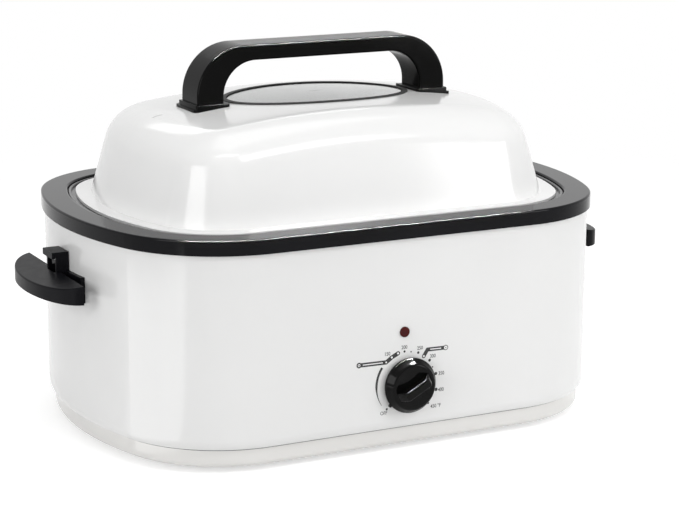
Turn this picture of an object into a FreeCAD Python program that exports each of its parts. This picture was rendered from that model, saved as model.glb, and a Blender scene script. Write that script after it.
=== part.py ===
"""Electric roaster oven: an oblong steel housing with a wrap-round heater, a lift-out pan and rack,
and a lift-off domed lid with a window. Millimetres, +Z up, the front towards -Y, feet standing on Z = 0.
Each piece goes to parts/NODE.step."""
import FreeCAD, Part
import os
from math import atan2, cos, degrees, pi, radians, sin, sqrt, tan
from FreeCAD import Rotation, Vector

# ---- Plan outline of the casing: bowed ends, round corners, straight long sides ----
HALF_LENGTH = 262.0      # middle of the body to the end of the casing
HALF_DEPTH = 187.5       # middle of the body to the front of the casing
END_R = 328.0            # radius of the bowed ends
CORNER_R = 115.0         # radius of the four corners

# ---- Clearances ----
REST_GAP = 0.3           # under a piece that lifts off
HOLE_GAP = 0.3           # round a screw or a nose in a sheet hole
SHAFT_GAP = 0.05         # round the turning control shaft
SEAT_GAP = 0.1           # between curved pieces that are clamped together
FLANGE_GAP = 0.6         # beside the pan's flange

# ---- Casing and base pan ----
SHEET_T = 0.8            # steel sheet of the casing, base pan, well and shield
FOOT_H = 6.0
BASE_H = 18.2            # height of the base pan's visible wall
BASE_INSET = 5.7         # how far the base pan stands in from the casing
BASE_EDGE_R = 5.0
COLLAR_INSET = 7.2       # the base pan's collar, inside the casing's hem
COLLAR_H = 14.0
CURL_R = 12.0            # the casing's lower edge curls inwards
CURL_CUT = 4.0           # height of the curl that is left off below the hem
AIR_SLOT_COUNT = 9
AIR_SLOT_PITCH = 16.0
AIR_SLOT_W = 4.0
AIR_SLOT_L = 28.0
AIR_SLOT_Y = 95.0

# ---- Rim ----
RIM_TOP = 219.0
RIM_FACE_H = 14.0
RIM_OUTSET = 3.0
RIM_W = 26.0             # width of the rim's top face
RIM_T = 2.0
RIM_LIP_T = 1.6          # the rim's inner skirt
RIM_LIP_H = 3.4
RIM_EDGE_R = 1.9
RIM_BOSS_R = 4.2
RIM_SCREW_INSET = 9.6    # casing's outline to the rim's screws
RIM_SCREW_END = 0.4      # left between a screw's tip and the rim

# ---- Cooking well, heater and insulation ----
WELL_INSET = 33.0        # outer face of the well's wall
WELL_BOTTOM = 44.0
WELL_BOTTOM_R = 25.0
WELL_FLANGE_INSET = 1.6
HEATER_Z = 96.0
HEATER_H = 38.0
HEATER_T = 1.4
HEATER_SPLIT = 12.0      # gap between the heater band's ends
LUG_T = 2.0              # the band's ends, turned outwards
LUG_H = 22.0
LUG_REACH = 14.0
CLAMP_REACH = 9.0        # the well's wall to the clamp's screw
CLAMP_NUT_W = 7.0
CLAMP_NUT_T = 3.0
CLAMP_END = 2.0          # the clamp's screw beyond its nut
TERMINAL_X = 14.0
TERMINAL_RISE = 6.0      # above the heater band's lower edge
TERMINAL_FOOT_R = 4.0
TERMINAL_FOOT_T = 2.0
TERMINAL_POST_R = 2.0
TERMINAL_POST_L = 6.0
BLANKET_Z = 60.0
BLANKET_T = 13.0
BLANKET_TOP_GAP = 8.8    # the blanket's top to the well's flange
BLANKET_OPEN = 34.0      # half-width of the openings at the controls and at the terminals
BLANKET_OPEN_GAP = 6.0   # the openings' tops above the lamp's clip and the heater
SHIELD_Z = 30.0
SHIELD_H = 8.0
SHIELD_INSET = 48.0

# ---- Studs that tie the well to the base pan ----
STUD_X = 110.0
STUD_Y = 60.0
STUD_R = 2.5
STUD_PLATE_R = 8.0
STUD_PLATE_T = 1.5
STUD_NUT_W = 8.0
STUD_NUT_T = 3.2
STUD_END = 1.3           # the stud below its nut
SPACER_R = 4.5

# ---- Roasting pan and rack ----
PAN_T = 0.8
PAN_GAP = 3.2            # the well's wall to the pan's wall at the top
PAN_AIR = 7.2            # the well's floor to the pan
PAN_DRAFT = 5.0          # how much further in the pan's foot is than its top
PAN_BOTTOM_R = 22.0
BEAD_W = 3.2             # the rolled edge of the pan's flange
BEAD_H = 3.1
BEAD_R = 1.2
RACK_GAP = 18.0          # the foot of the pan's wall to the rack's frame
RACK_WIRE_R = 2.0
RACK_CROSS_R = 1.5
RACK_CROSS_COUNT = 13
RACK_CROSS_MARGIN = 22.0
RACK_LIFT = 12.0         # the pan's floor to the middle of the rack's wires
RACK_BAIL_H = 42.0
RACK_BAIL_W = 90.0
RACK_BAIL_R = 12.0

# ---- Lid ----
LID_T = 0.9
LID_GAP = 4.2            # the pan's bead to the lid's edge
LID_FLANGE_W = 15.0
LID_HEM_H = 2.6
LID_RISE = 96.0          # the rim's top to the dome's top
DOME_TAPER = 16.0        # degrees
CROWN_R = 1050.0
SHOULDER_R = 44.0
WINDOW_SIDE_GAP = 6.0    # the window's opening to the handle's base plates
WINDOW_EDGE_GAP = 20.0   # the window's opening to the dome's shoulder
GLASS_T = 3.0
GLASS_INSET = 0.8        # the glass's edge inside the opening's edge
GASKET_LIP = 2.2
GASKET_T = 1.0
VENT_OUT = 11.0          # the vent's middle beyond the crown's end
VENT_L = 10.0
VENT_W = 2.0

# ---- Lid handle ----
GRIP_MARGIN = 22.0       # the crown's end to the outer face of a leg
GRIP_RISE = 51.5         # the dome's top to the handle's top
GRIP_DEPTH = 40.0
GRIP_LEG = 27.3
GRIP_BAR = 15.0
GRIP_OUTER_R = 48.0
GRIP_INNER_R = 33.5
GRIP_EDGE_R = 2.5
GRIP_BASE_DROP = 2.7     # the dome's top to the base plates' tops
GRIP_BASE_LAP = 5.0      # how far a base plate stands out round the leg
GRIP_BASE_CORNER_R = 5.0
GRIP_BASE_EDGE_R = 1.5
GRIP_SCREW_Y = 12.0
GRIP_SCREW_IN = 12.0     # thread inside a leg
GRIP_WASHER_R = 6.5
WASHER_T = 1.2

# ---- Side handles ----
SIDE_REACH = 40.25       # how far a grip stands out of the casing's end
SIDE_OPENING = 9.3       # the casing's end to the grip's straight inner edge
SIDE_HALF_W = 77.0
SIDE_DROP = 54.7         # the rim's top to the grip's top
SIDE_SLOPE = 5.2         # fall of the grip's top from its inner edge to its outer end
SIDE_SKIRT = 17.4
SIDE_WALL = 3.0
SIDE_EDGE_R = 1.5
SIDE_PLATE_T = 4.0
SIDE_PLATE_HALF_W = 45.5
SIDE_PLATE_DROP = 24.3   # the grip's top to the plate's foot
SIDE_PLATE_RISE = 0.4
BRACKET_HALF_W = 13.0
BRACKET_WALL = 3.0
BRACKET_RISE = 18.7      # the grip's top to the bracket's top
BRACKET_CHEEK_REACH = 13.0
BRACKET_REACH = 17.0
BRACKET_LIP_H = 6.0
BRACKET_WINDOW_W = 5.0   # an opening in the rear cheek
BRACKET_WINDOW_Z = 3.0   # above the grip's top
BRACKET_WINDOW_H = 7.0
PARK_PIT_L = 5.0         # how far the pit below the bracket reaches into the grip
PARK_PIT_H = 7.0
PARK_PIT_WALL = 2.0
SIDE_BOSS_R = 5.0
SIDE_BOSS_L = 6.0
SIDE_SCREW_Y = 34.0
SIDE_SCREW_DROP = 13.0   # the grip's top to its screws
SIDE_SCREW_BACK = 2.0    # the heads' seat inside the casing's end
SIDE_SCREW_L = 8.5
SIDE_WASHER_R = 5.5

# ---- Knob and shaft ----
KNOB_X = 4.5
KNOB_Z = 65.5
KNOB_R = 27.2
KNOB_RIM = 3.0           # the skirt's straight part, before its bevel
KNOB_FACE_R = 22.0
KNOB_SKIRT = 11.0
KNOB_WALL = 3.0
KNOB_GRIP = 9.0          # how far the grip bar stands out of the knob's face
KNOB_GRIP_W = 11.0
KNOB_GRIP_END = 3.0      # the bar's ends inside the face's edge
KNOB_GRIP_DRAFT = 3.0
KNOB_GRIP_EDGE_R = 1.5
KNOB_TIP_W = 4.4
KNOB_TIP_OUT = 1.2       # the pointer's tip beyond the skirt
KNOB_TIP_L = 5.2
KNOB_TIP_T = 3.0
KNOB_BOSS_R = 6.5
KNOB_BOSS_BACK = 3.0     # the boss's end inside the knob's back
KNOB_GAP = 1.5           # knob to casing
KNOB_OFF_ANGLE = 225.0   # the pointer's rest, counter-clockwise from +X as seen from the front
CLIP_T = 1.0
CLIP_W = 3.0
SHAFT_R = 3.0
SHAFT_IN = 12.0          # shaft behind the casing's front
SHAFT_TIP = 2.0          # web of the knob in front of the shaft

# ---- Thermostat ----
BUSHING_R = 5.0
BUSHING_OUT = 4.0        # the threaded nose in front of the casing
THERMO_FLANGE_R = 9.0
THERMO_FRONT_GAP = 2.5
THERMO_HALF_W = 20.0
THERMO_HALF_H = 20.5
THERMO_T = 22.0
THERMO_EDGE_R = 3.0
THERMO_NUT_W = 14.0
THERMO_NUT_T = 3.0
TAB_W = 6.0
TAB_T = 1.0
TAB_H = 8.0
TAB_Y = 10.0             # the tabs behind the block's front
PAD_HALF_W = 12.0
PAD_EDGE = 2.0           # the pad's top below the block's top
PAD_FOOT_GAP = 3.0       # the pad's foot above the well's bottom curve

# ---- Indicator lamp ----
LAMP_Z = 116.5
LAMP_R = 5.0
LAMP_FACE_T = 2.0
LAMP_FACE_EDGE_R = 1.4
LAMP_NECK_R = 4.0
LAMP_NECK_L = 6.0
LAMP_BODY_L = 14.0
LAMP_TAIL_R = 2.5
LAMP_TAIL_L = 3.0
LAMP_CLIP_R = 8.0
LAMP_CLIP_T = 1.0

# ---- Cord gland, terminal block and leads ----
GLAND_X = 60.0
GLAND_Z = 57.0
GLAND_NECK_HALF_W = 5.5  # the square neck that keeps the gland from turning
GLAND_NECK_L = 7.0       # neck inside the casing's back
GLAND_FLANGE_R = 10.0
GLAND_FLANGE_T = 3.0
GLAND_NOSE_R = 7.5
GLAND_NOSE_L = 14.0
GLAND_BORE_R = 4.0
GLAND_NUT_W = 16.0
GLAND_NUT_T = 3.0
BLOCK_HALF_W = 18.0
BLOCK_Z = 50.0
BLOCK_H = 18.0
BLOCK_T = 13.0
BLOCK_SCREW_X = 9.0
BLOCK_SCREW_L = 9.0
BLOCK_HOLE_L = 10.0
LEAD_R = 1.4
LEAD_X = 10.0
LEAD_Z = 16.0            # height of the leads' long run
LEAD_BEND_R = 10.0
LEAD_COLLAR_GAP = 2.0    # lead to the base pan's collar
HEATER_LEAD_BEND_R = 7.0

# ---- Feet and fasteners ----
FOOT_FROM_END = 68.0
FOOT_FROM_FRONT = 69.5
FOOT_R = 12.5
FOOT_TAPER = 1.5
FOOT_RECESS = 1.0        # round and below the screw's head
FOOT_SCREW_L = 10.0
SCREW_R = 1.9
SCREW_HEAD_R = 4.0
SCREW_HEAD_H = 2.2

# ---- Plan places that follow ----
FRONT = -HALF_DEPTH
BACK = HALF_DEPTH
END_CENTRE = HALF_LENGTH - END_R
CORNER_Y = HALF_DEPTH - CORNER_R
CORNER_X = END_CENTRE + sqrt((END_R - CORNER_R) ** 2 - CORNER_Y ** 2)
CORNER_ANGLE = atan2(CORNER_Y, CORNER_X - END_CENTRE)
FOOT_X = HALF_LENGTH - FOOT_FROM_END
FOOT_Y = HALF_DEPTH - FOOT_FROM_FRONT
RIM_INNER = RIM_W - RIM_OUTSET
HEATER_INSET = WELL_INSET - HEATER_T
BLANKET_INSET = HEATER_INSET - REST_GAP
PAN_INSET = WELL_INSET + SHEET_T + PAN_GAP
PAN_FLANGE_INSET = RIM_INNER + FLANGE_GAP
RACK_INSET = PAN_INSET + PAN_DRAFT + RACK_GAP
LID_INSET = PAN_FLANGE_INSET + BEAD_W + LID_GAP
DOME_INSET = LID_INSET + LID_FLANGE_W
SIDE_END = HALF_LENGTH + SIDE_REACH
SIDE_CHORD = HALF_LENGTH + SIDE_OPENING
THERMO_FRONT = FRONT + SHEET_T + THERMO_FRONT_GAP
THERMO_BACK = THERMO_FRONT + THERMO_T
KNOB_BACK = FRONT - KNOB_GAP
KNOB_FACE = KNOB_BACK - KNOB_SKIRT
KNOB_FRONT = KNOB_FACE - KNOB_GRIP
GLAND_END = BACK + GLAND_NOSE_L
SHIFT_Y = -(KNOB_FRONT + GLAND_END) / 2   # puts the origin under the middle of the whole oven

# ---- Levels that follow ----
GROOVE_Z = FOOT_H + BASE_H
BASE_FLOOR = FOOT_H + SHEET_T
CASING_TOP = RIM_TOP - RIM_T
WELL_FLANGE_TOP = CASING_TOP - RIM_LIP_H
WELL_FLOOR = WELL_BOTTOM + SHEET_T
BLANKET_TOP = WELL_FLANGE_TOP - SHEET_T - BLANKET_TOP_GAP
HEATER_TOP = HEATER_Z + HEATER_H
PAN_FLANGE_Z = WELL_FLANGE_TOP + REST_GAP
PAN_FLANGE_TOP = PAN_FLANGE_Z + PAN_T
PAN_BOTTOM = WELL_FLOOR + PAN_AIR
PAN_FLOOR = PAN_BOTTOM + PAN_T
RACK_Z = PAN_FLOOR + RACK_LIFT
LID_Z = PAN_FLANGE_TOP + REST_GAP
LID_FLANGE_TOP = LID_Z + LID_HEM_H
CROWN_Z = RIM_TOP + LID_RISE
GRIP_BASE_TOP = CROWN_Z - GRIP_BASE_DROP
GRIP_TOP = CROWN_Z + GRIP_RISE
SIDE_TOP = RIM_TOP - SIDE_DROP
SIDE_FOOT = SIDE_TOP - SIDE_SKIRT
SIDE_PLATE_Z = SIDE_TOP - SIDE_PLATE_DROP
SIDE_SCREW_Z = SIDE_TOP - SIDE_SCREW_DROP
BRACKET_TOP = SIDE_TOP + BRACKET_RISE

# ---- Places on the crown that follow ----
WALL_RUN = (CROWN_Z - LID_FLANGE_TOP) * tan(radians(DOME_TAPER))
SHOULDER_RUN = SHOULDER_R * tan(radians(90 - DOME_TAPER) / 2)
CROWN_EDGE = DOME_INSET + WALL_RUN + SHOULDER_RUN
GRIP_HALF = HALF_LENGTH - CROWN_EDGE - GRIP_MARGIN
GRIP_BASE_X0 = GRIP_HALF - GRIP_LEG - GRIP_BASE_LAP
GRIP_BASE_X1 = GRIP_HALF + GRIP_BASE_LAP
WINDOW_A = GRIP_BASE_X0 - WINDOW_SIDE_GAP
WINDOW_B = HALF_DEPTH - CROWN_EDGE - WINDOW_EDGE_GAP
VENT_X = CROWN_EDGE - HALF_LENGTH - VENT_OUT

X = Vector(1, 0, 0)
Y = Vector(0, 1, 0)
Z = Vector(0, 0, 1)


# ---- Shapes shared by the pieces ----
def polar(cx, cy, r, angle, z):
    return Vector(cx + r * cos(angle), cy + r * sin(angle), z)


def outline(inset, z):
    """The casing's plan outline moved inwards by inset, at height z, starting along the front."""
    side = HALF_DEPTH - inset
    corner = CORNER_R - inset
    end = END_R - inset
    meet = CORNER_ANGLE
    edges = []
    for turn in (1, -1):
        cx, cy, ex = CORNER_X * turn, CORNER_Y * turn, END_CENTRE * turn
        start = -pi / 2 if turn > 0 else pi / 2
        middle = 0.0 if turn > 0 else pi
        edges.append(Part.makeLine(Vector(-cx, -side * turn, z), Vector(cx, -side * turn, z)))
        for centre_x, centre_y, r, a, b in (
                (cx, -cy, corner, start, middle - meet),
                (ex, 0.0, end, middle - meet, middle + meet),
                (cx, cy, corner, middle + meet, start + pi)):
            points = [polar(centre_x, centre_y, r, angle, z) for angle in (a, (a + b) / 2, b)]
            edges.append(Part.Arc(*points).toShape())
    return Part.Wire(edges)


def slab(inset, z0, z1):
    return Part.Face(outline(inset, z0)).extrude(Z * (z1 - z0))


def band(outer, inner, z0, z1):
    """A ring between two insets of the outline."""
    return slab(outer, z0, z1).cut(slab(inner, z0, z1))


def drafted(inset0, z0, inset1, z1):
    return Part.makeLoft([outline(inset0, z0), outline(inset1, z1)], True, True)


def end_x(y, inset):
    """Where the bowed end's surface lies at a distance y from the middle."""
    return END_CENTRE + sqrt((END_R - inset) ** 2 - y ** 2)


def half_depth_at(x, inset):
    """Half the depth of the outline at a distance x from the middle."""
    from_centre = abs(x) - END_CENTRE
    if abs(x) <= CORNER_X:
        return HALF_DEPTH - inset
    if from_centre * (END_R - CORNER_R) > (CORNER_X - END_CENTRE) * (END_R - inset):
        return sqrt((END_R - inset) ** 2 - from_centre ** 2)
    return CORNER_Y + sqrt((CORNER_R - inset) ** 2 - (abs(x) - CORNER_X) ** 2)


def box(x0, x1, y0, y1, z0, z1):
    return Part.makeBox(x1 - x0, y1 - y0, z1 - z0, Vector(x0, y0, z0))


def rod(r, start, direction, length):
    return Part.makeCylinder(r, length, start, direction)


def tube(outer, inner, start, direction, length):
    return rod(outer, start, direction, length).cut(rod(inner, start, direction, length))


def hexagon(across, start, direction, length):
    """A hexagonal prism that stands on start."""
    r = across / sqrt(3)
    points = [polar(0, 0, r, i * pi / 3, 0) for i in range(7)]
    prism = Part.Face(Part.makePolygon(points)).extrude(Z * length)
    turn = Rotation(Z, direction)
    prism.rotate(Vector(), turn.Axis, degrees(turn.Angle))
    prism.translate(start)
    return prism


def nut(across, bore, start, direction, length):
    return hexagon(across, start, direction, length).cut(rod(bore, start, direction, length))


def screw(start, direction, length):
    """A pan-head screw: the head's underside lies at start and the shank runs on along direction."""
    head = rod(SCREW_HEAD_R, start - direction * SCREW_HEAD_H, direction, SCREW_HEAD_H)
    return head.fuse(rod(SCREW_R, start, direction, length)).removeSplitter()


def rounded(shape, r, test):
    """The shape with a fillet on each edge whose bounding box passes the test."""
    return shape.makeFillet(r, [edge for edge in shape.Edges if test(edge.BoundBox)])


def level(z):
    """A test for edges that lie flat at height z."""
    return lambda b: abs(b.ZMin - z) < 0.01 and abs(b.ZMax - z) < 0.01


def facing(y):
    """A test for edges that lie upright in the plane at y."""
    return lambda b: abs(b.YMin - y) < 0.01 and abs(b.YMax - y) < 0.01


def front_to_back(z):
    """A test for straight edges along Y at height z."""
    return lambda b: b.YLength > 1 and b.XLength < 0.01 and abs(b.ZMin - z) < 0.01


def path(points, r):
    """Straight runs through the points, joined by tangent arcs of radius r."""
    edges = []
    last = points[0]
    for before, corner, after in zip(points, points[1:], points[2:]):
        inward = (before - corner).normalize()
        outward = (after - corner).normalize()
        half_turn = inward.getAngle(outward) / 2
        setback = r / tan(half_turn)
        a = corner + inward * setback
        b = corner + outward * setback
        bisector = (inward + outward).normalize()
        middle = corner + bisector * (r / sin(half_turn) - r)
        edges += [Part.makeLine(last, a), Part.Arc(a, middle, b).toShape()]
        last = b
    return Part.Wire(edges + [Part.makeLine(last, points[-1])])


def wire_along(spine, r, start, direction):
    """A round wire of radius r along the spine, which starts at start in the given direction."""
    profile = Part.Wire(Part.makeCircle(r, start, direction))
    return spine.makePipeShell([profile], True, True)


def on_crown(a, b):
    """An upright elliptical prism through the top of the dome."""
    foot = CROWN_Z - LID_RISE / 4
    ellipse = Part.Ellipse(Vector(0, 0, foot), max(a, b), min(a, b)).toShape()
    if b > a:
        ellipse.rotate(Vector(), Z, 90)
    return Part.Face(Part.Wire(ellipse)).extrude(Z * LID_RISE / 3)


def ball(drop):
    """The solid below the dome's crown surface, lowered square to itself by drop."""
    return Part.makeSphere(CROWN_R - drop, Vector(0, 0, CROWN_Z - CROWN_R))


def crown_z(x, y, drop=0.0):
    return CROWN_Z - CROWN_R + sqrt((CROWN_R - drop) ** 2 - x ** 2 - y ** 2)


def corners(x, y):
    return [(sx * x, sy * y) for sx in (-1, 1) for sy in (-1, 1)]


def upright_holes(places, r, z, length):
    return Part.makeCompound([rod(r, Vector(x, y, z), Z, length) for x, y in places])


def mirrored(shape):
    """The same piece for the left end."""
    return shape.mirror(Vector(), X)


def save(name, *solids):
    shape = solids[0] if len(solids) == 1 else Part.makeCompound(list(solids))
    shape = shape.copy()
    shape.translate(Vector(0, SHIFT_Y, 0))
    shape.exportStep(f"parts/{name}.step")


# ---- Housing ----
def casing_body(inset):
    """The casing's outer form down to the hem, its lower edge curled inwards."""
    foot = GROOVE_Z - CURL_CUT
    form = rounded(slab(inset, foot + inset, CASING_TOP), CURL_R - inset, level(foot + inset))
    return form.cut(box(-HALF_LENGTH, HALF_LENGTH, FRONT, BACK, 0, GROOVE_Z + inset))


def gland_square(half, y0, y1):
    """A square bar along the gland's axis."""
    return box(GLAND_X - half, GLAND_X + half, y0, y1, GLAND_Z - half, GLAND_Z + half)


def outer_casing():
    casing = casing_body(0).cut(casing_body(SHEET_T))
    casing = casing.cut(slab(COLLAR_INSET - HOLE_GAP, GROOVE_Z, GROOVE_Z + SHEET_T))
    through = CURL_R / 2
    at_front = Vector(0, FRONT - through / 2, 0)
    holes = [rod(BUSHING_R + HOLE_GAP, at_front + X * KNOB_X + Z * KNOB_Z, Y, through),
             rod(LAMP_NECK_R + HOLE_GAP, at_front + Z * LAMP_Z, Y, through),
             gland_square(GLAND_NECK_HALF_W + HOLE_GAP, BACK - through / 2, BACK + through / 2)]
    holes += [rod(SCREW_R + HOLE_GAP, start, X * end, through) for start, end in side_screw_places()]
    holes += [rod(SCREW_R + HOLE_GAP, start + Y * through / 2, -Y, through) for start in block_screw_places()]
    return casing.cut(Part.makeCompound(holes))


def base_pan():
    """A shallow dish with a shoulder that carries the casing and a collar inside it."""
    dish = rounded(slab(BASE_INSET, FOOT_H, GROOVE_Z), BASE_EDGE_R, level(FOOT_H))
    hollow = slab(BASE_INSET + SHEET_T, BASE_FLOOR, GROOVE_Z - SHEET_T)
    hollow = rounded(hollow, BASE_EDGE_R - SHEET_T, level(BASE_FLOOR))
    mouth = slab(COLLAR_INSET + SHEET_T, GROOVE_Z - SHEET_T, GROOVE_Z)
    collar = band(COLLAR_INSET, COLLAR_INSET + SHEET_T, GROOVE_Z, GROOVE_Z + COLLAR_H)
    pan = dish.cut(hollow).cut(mouth).fuse(collar)
    pan = pan.cut(upright_holes(corners(FOOT_X, FOOT_Y), SCREW_R + HOLE_GAP, FOOT_H, SHEET_T))
    pan = pan.cut(upright_holes(corners(STUD_X, STUD_Y), STUD_R + HOLE_GAP, FOOT_H, SHEET_T))
    slots = []
    for i in range(AIR_SLOT_COUNT):
        x = (i - (AIR_SLOT_COUNT - 1) / 2) * AIR_SLOT_PITCH
        for y in (-AIR_SLOT_Y, AIR_SLOT_Y):
            slots.append(box(x - AIR_SLOT_W / 2, x + AIR_SLOT_W / 2, y - AIR_SLOT_L / 2, y + AIR_SLOT_L / 2,
                             FOOT_H, BASE_FLOOR))
    return pan.cut(Part.makeCompound(slots)).removeSplitter()


def rim_screw_places():
    side = HALF_DEPTH - RIM_SCREW_INSET
    end = HALF_LENGTH - RIM_SCREW_INSET
    return corners(CORNER_X, side) + [(0, -side), (0, side), (-end, 0), (end, 0)]


def rim():
    """An upside-down channel over the casing's edge, standing on the well's flange."""
    channel = slab(-RIM_OUTSET, RIM_TOP - RIM_FACE_H, RIM_TOP).cut(slab(RIM_INNER, 0, RIM_TOP))
    channel = rounded(channel, RIM_EDGE_R, level(RIM_TOP))
    channel = channel.cut(band(-HOLE_GAP, RIM_INNER - RIM_LIP_T, 0, CASING_TOP))
    channel = channel.cut(slab(RIM_INNER - RIM_LIP_T, 0, WELL_FLANGE_TOP))
    for x, y in rim_screw_places():
        foot = Vector(x, y, WELL_FLANGE_TOP)
        boss = rod(RIM_BOSS_R, foot, Z, RIM_LIP_H + RIM_T / 4)
        channel = channel.fuse(boss).cut(rod(SCREW_R, foot, Z, RIM_LIP_H))
    return channel.removeSplitter()


def cook_well():
    body = rounded(slab(WELL_INSET, WELL_BOTTOM, WELL_FLANGE_TOP), WELL_BOTTOM_R, level(WELL_BOTTOM))
    hollow = slab(WELL_INSET + SHEET_T, WELL_FLOOR, WELL_FLANGE_TOP)
    hollow = rounded(hollow, WELL_BOTTOM_R - SHEET_T, level(WELL_FLOOR))
    under = WELL_FLANGE_TOP - SHEET_T
    flange = slab(WELL_FLANGE_INSET, under, WELL_FLANGE_TOP)
    flange = flange.cut(upright_holes(rim_screw_places(), SCREW_R + HOLE_GAP, under, SHEET_T))
    return body.fuse(flange).cut(hollow).removeSplitter()


def rim_screws():
    under = WELL_FLANGE_TOP - SHEET_T
    length = SHEET_T + RIM_LIP_H - RIM_SCREW_END
    return [screw(Vector(x, y, under), Z, length) for x, y in rim_screw_places()]


def clamp_axis(x):
    return Vector(x, HALF_DEPTH - WELL_INSET + CLAMP_REACH, HEATER_Z + HEATER_H / 2)


def heater_band():
    """A flat element round the well, its ends turned out at the back."""
    half = HEATER_SPLIT / 2
    wall = HALF_DEPTH - WELL_INSET
    ring = band(HEATER_INSET, WELL_INSET, HEATER_Z, HEATER_TOP)
    ring = ring.cut(box(-half, half, 0, BACK, HEATER_Z, HEATER_TOP))
    low = HEATER_Z + (HEATER_H - LUG_H) / 2
    for x0 in (-half - LUG_T, half):
        lug = box(x0, x0 + LUG_T, wall, wall + LUG_REACH, low, low + LUG_H)
        ring = ring.fuse(lug.cut(rod(SCREW_R + HOLE_GAP, clamp_axis(x0), X, LUG_T)))
    return ring.removeSplitter()


def heater_clamp():
    """The screw and nut that draw the heater band's ends together."""
    outer = HEATER_SPLIT / 2 + LUG_T
    length = 2 * outer + CLAMP_NUT_T + CLAMP_END
    clamp_nut = nut(CLAMP_NUT_W, SCREW_R, clamp_axis(outer), X, CLAMP_NUT_T)
    return screw(clamp_axis(-outer), X, length), clamp_nut


def heater_terminals():
    """Two posts on the heater band for its leads."""
    posts = []
    for side in (-1, 1):
        start = Vector(side * TERMINAL_X, HALF_DEPTH - HEATER_INSET, HEATER_Z + TERMINAL_RISE)
        post = rod(TERMINAL_POST_R, start, Y, TERMINAL_FOOT_T + TERMINAL_POST_L)
        posts.append(post.fuse(rod(TERMINAL_FOOT_R, start, Y, TERMINAL_FOOT_T)).removeSplitter())
    return posts


def insulation_blanket():
    """A glass-fibre blanket round the well, open at the controls and at the heater's terminals."""
    blanket = band(BLANKET_INSET - BLANKET_T, BLANKET_INSET, BLANKET_Z, BLANKET_TOP)
    front_top = LAMP_Z + LAMP_CLIP_R + BLANKET_OPEN_GAP
    back_top = HEATER_TOP + BLANKET_OPEN_GAP
    blanket = blanket.cut(box(-BLANKET_OPEN, BLANKET_OPEN, FRONT, 0, BLANKET_Z, front_top))
    return blanket.cut(box(-BLANKET_OPEN, BLANKET_OPEN, 0, BACK, BLANKET_Z, back_top))


def heat_shield():
    inner = slab(SHIELD_INSET + SHEET_T, SHIELD_Z + SHEET_T, SHIELD_Z + SHIELD_H)
    tray = slab(SHIELD_INSET, SHIELD_Z, SHIELD_Z + SHIELD_H).cut(inner)
    return tray.cut(upright_holes(corners(STUD_X, STUD_Y), STUD_R + HOLE_GAP, SHIELD_Z, SHEET_T))


def tie_studs():
    """Studs that hang from the well and draw it down on the base pan."""
    plate_z = WELL_BOTTOM - STUD_PLATE_T
    end_z = FOOT_H - STUD_NUT_T - STUD_END
    studs = []
    for x, y in corners(STUD_X, STUD_Y):
        plate = rod(STUD_PLATE_R, Vector(x, y, plate_z), Z, STUD_PLATE_T)
        shank = rod(STUD_R, Vector(x, y, end_z), Z, WELL_BOTTOM - end_z)
        studs.append(plate.fuse(shank).removeSplitter())
    return studs


def stud_spacers():
    below = BASE_FLOOR, SHIELD_Z
    above = SHIELD_Z + SHEET_T, WELL_BOTTOM - STUD_PLATE_T
    return [tube(SPACER_R, STUD_R + HOLE_GAP, Vector(x, y, z0), Z, z1 - z0)
            for x, y in corners(STUD_X, STUD_Y) for z0, z1 in (below, above)]


def stud_nuts():
    start_z = FOOT_H - STUD_NUT_T
    return [nut(STUD_NUT_W, STUD_R, Vector(x, y, start_z), Z, STUD_NUT_T) for x, y in corners(STUD_X, STUD_Y)]


def feet():
    """Four moulded pads, recessed for their screws."""
    pads = []
    for x, y in corners(FOOT_X, FOOT_Y):
        ground = Vector(x, y, 0)
        pad = Part.makeCone(FOOT_R - FOOT_TAPER, FOOT_R, FOOT_H, ground, Z)
        recess = rod(SCREW_HEAD_R + FOOT_RECESS, ground, Z, SCREW_HEAD_H + FOOT_RECESS)
        pads.append(pad.cut(recess).cut(rod(SCREW_R + HOLE_GAP, ground, Z, FOOT_H)))
    return pads


def foot_screws():
    seat = SCREW_HEAD_H + FOOT_RECESS
    return [screw(Vector(x, y, seat), Z, FOOT_SCREW_L) for x, y in corners(FOOT_X, FOOT_Y)]


# ---- Controls ----
def on_axis(y):
    """A point on the knob's axis."""
    return Vector(KNOB_X, y, KNOB_Z)


def lead_places():
    return KNOB_X - LEAD_X, KNOB_X + LEAD_X


def thermostat_body():
    """The switch block behind the front, with a round nose through the casing."""
    block = box(KNOB_X - THERMO_HALF_W, KNOB_X + THERMO_HALF_W, THERMO_FRONT, THERMO_BACK,
                KNOB_Z - THERMO_HALF_H, KNOB_Z + THERMO_HALF_H)
    block = rounded(block, THERMO_EDGE_R, lambda b: b.XLength < 0.01 and b.ZLength < 0.01)
    flange = rod(THERMO_FLANGE_R, on_axis(FRONT + SHEET_T), Y, THERMO_FRONT_GAP)
    tip = on_axis(FRONT - BUSHING_OUT)
    nose = rod(BUSHING_R, tip, Y, BUSHING_OUT + SHEET_T + THERMO_FRONT_GAP)
    bore = rod(SHAFT_R + SHAFT_GAP, tip, Y, BUSHING_OUT + SHAFT_IN + 1)
    return block.fuse([flange, nose]).cut(bore).removeSplitter()


def thermostat_nut():
    return nut(THERMO_NUT_W, BUSHING_R, on_axis(FRONT), -Y, THERMO_NUT_T)


def thermostat_terminals():
    """Two flat tabs on the switch block's foot."""
    foot = KNOB_Z - THERMO_HALF_H
    front = THERMO_FRONT + TAB_Y
    return [box(x - TAB_W / 2, x + TAB_W / 2, front, front + TAB_T, foot - TAB_H, foot)
            for x in lead_places()]


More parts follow.
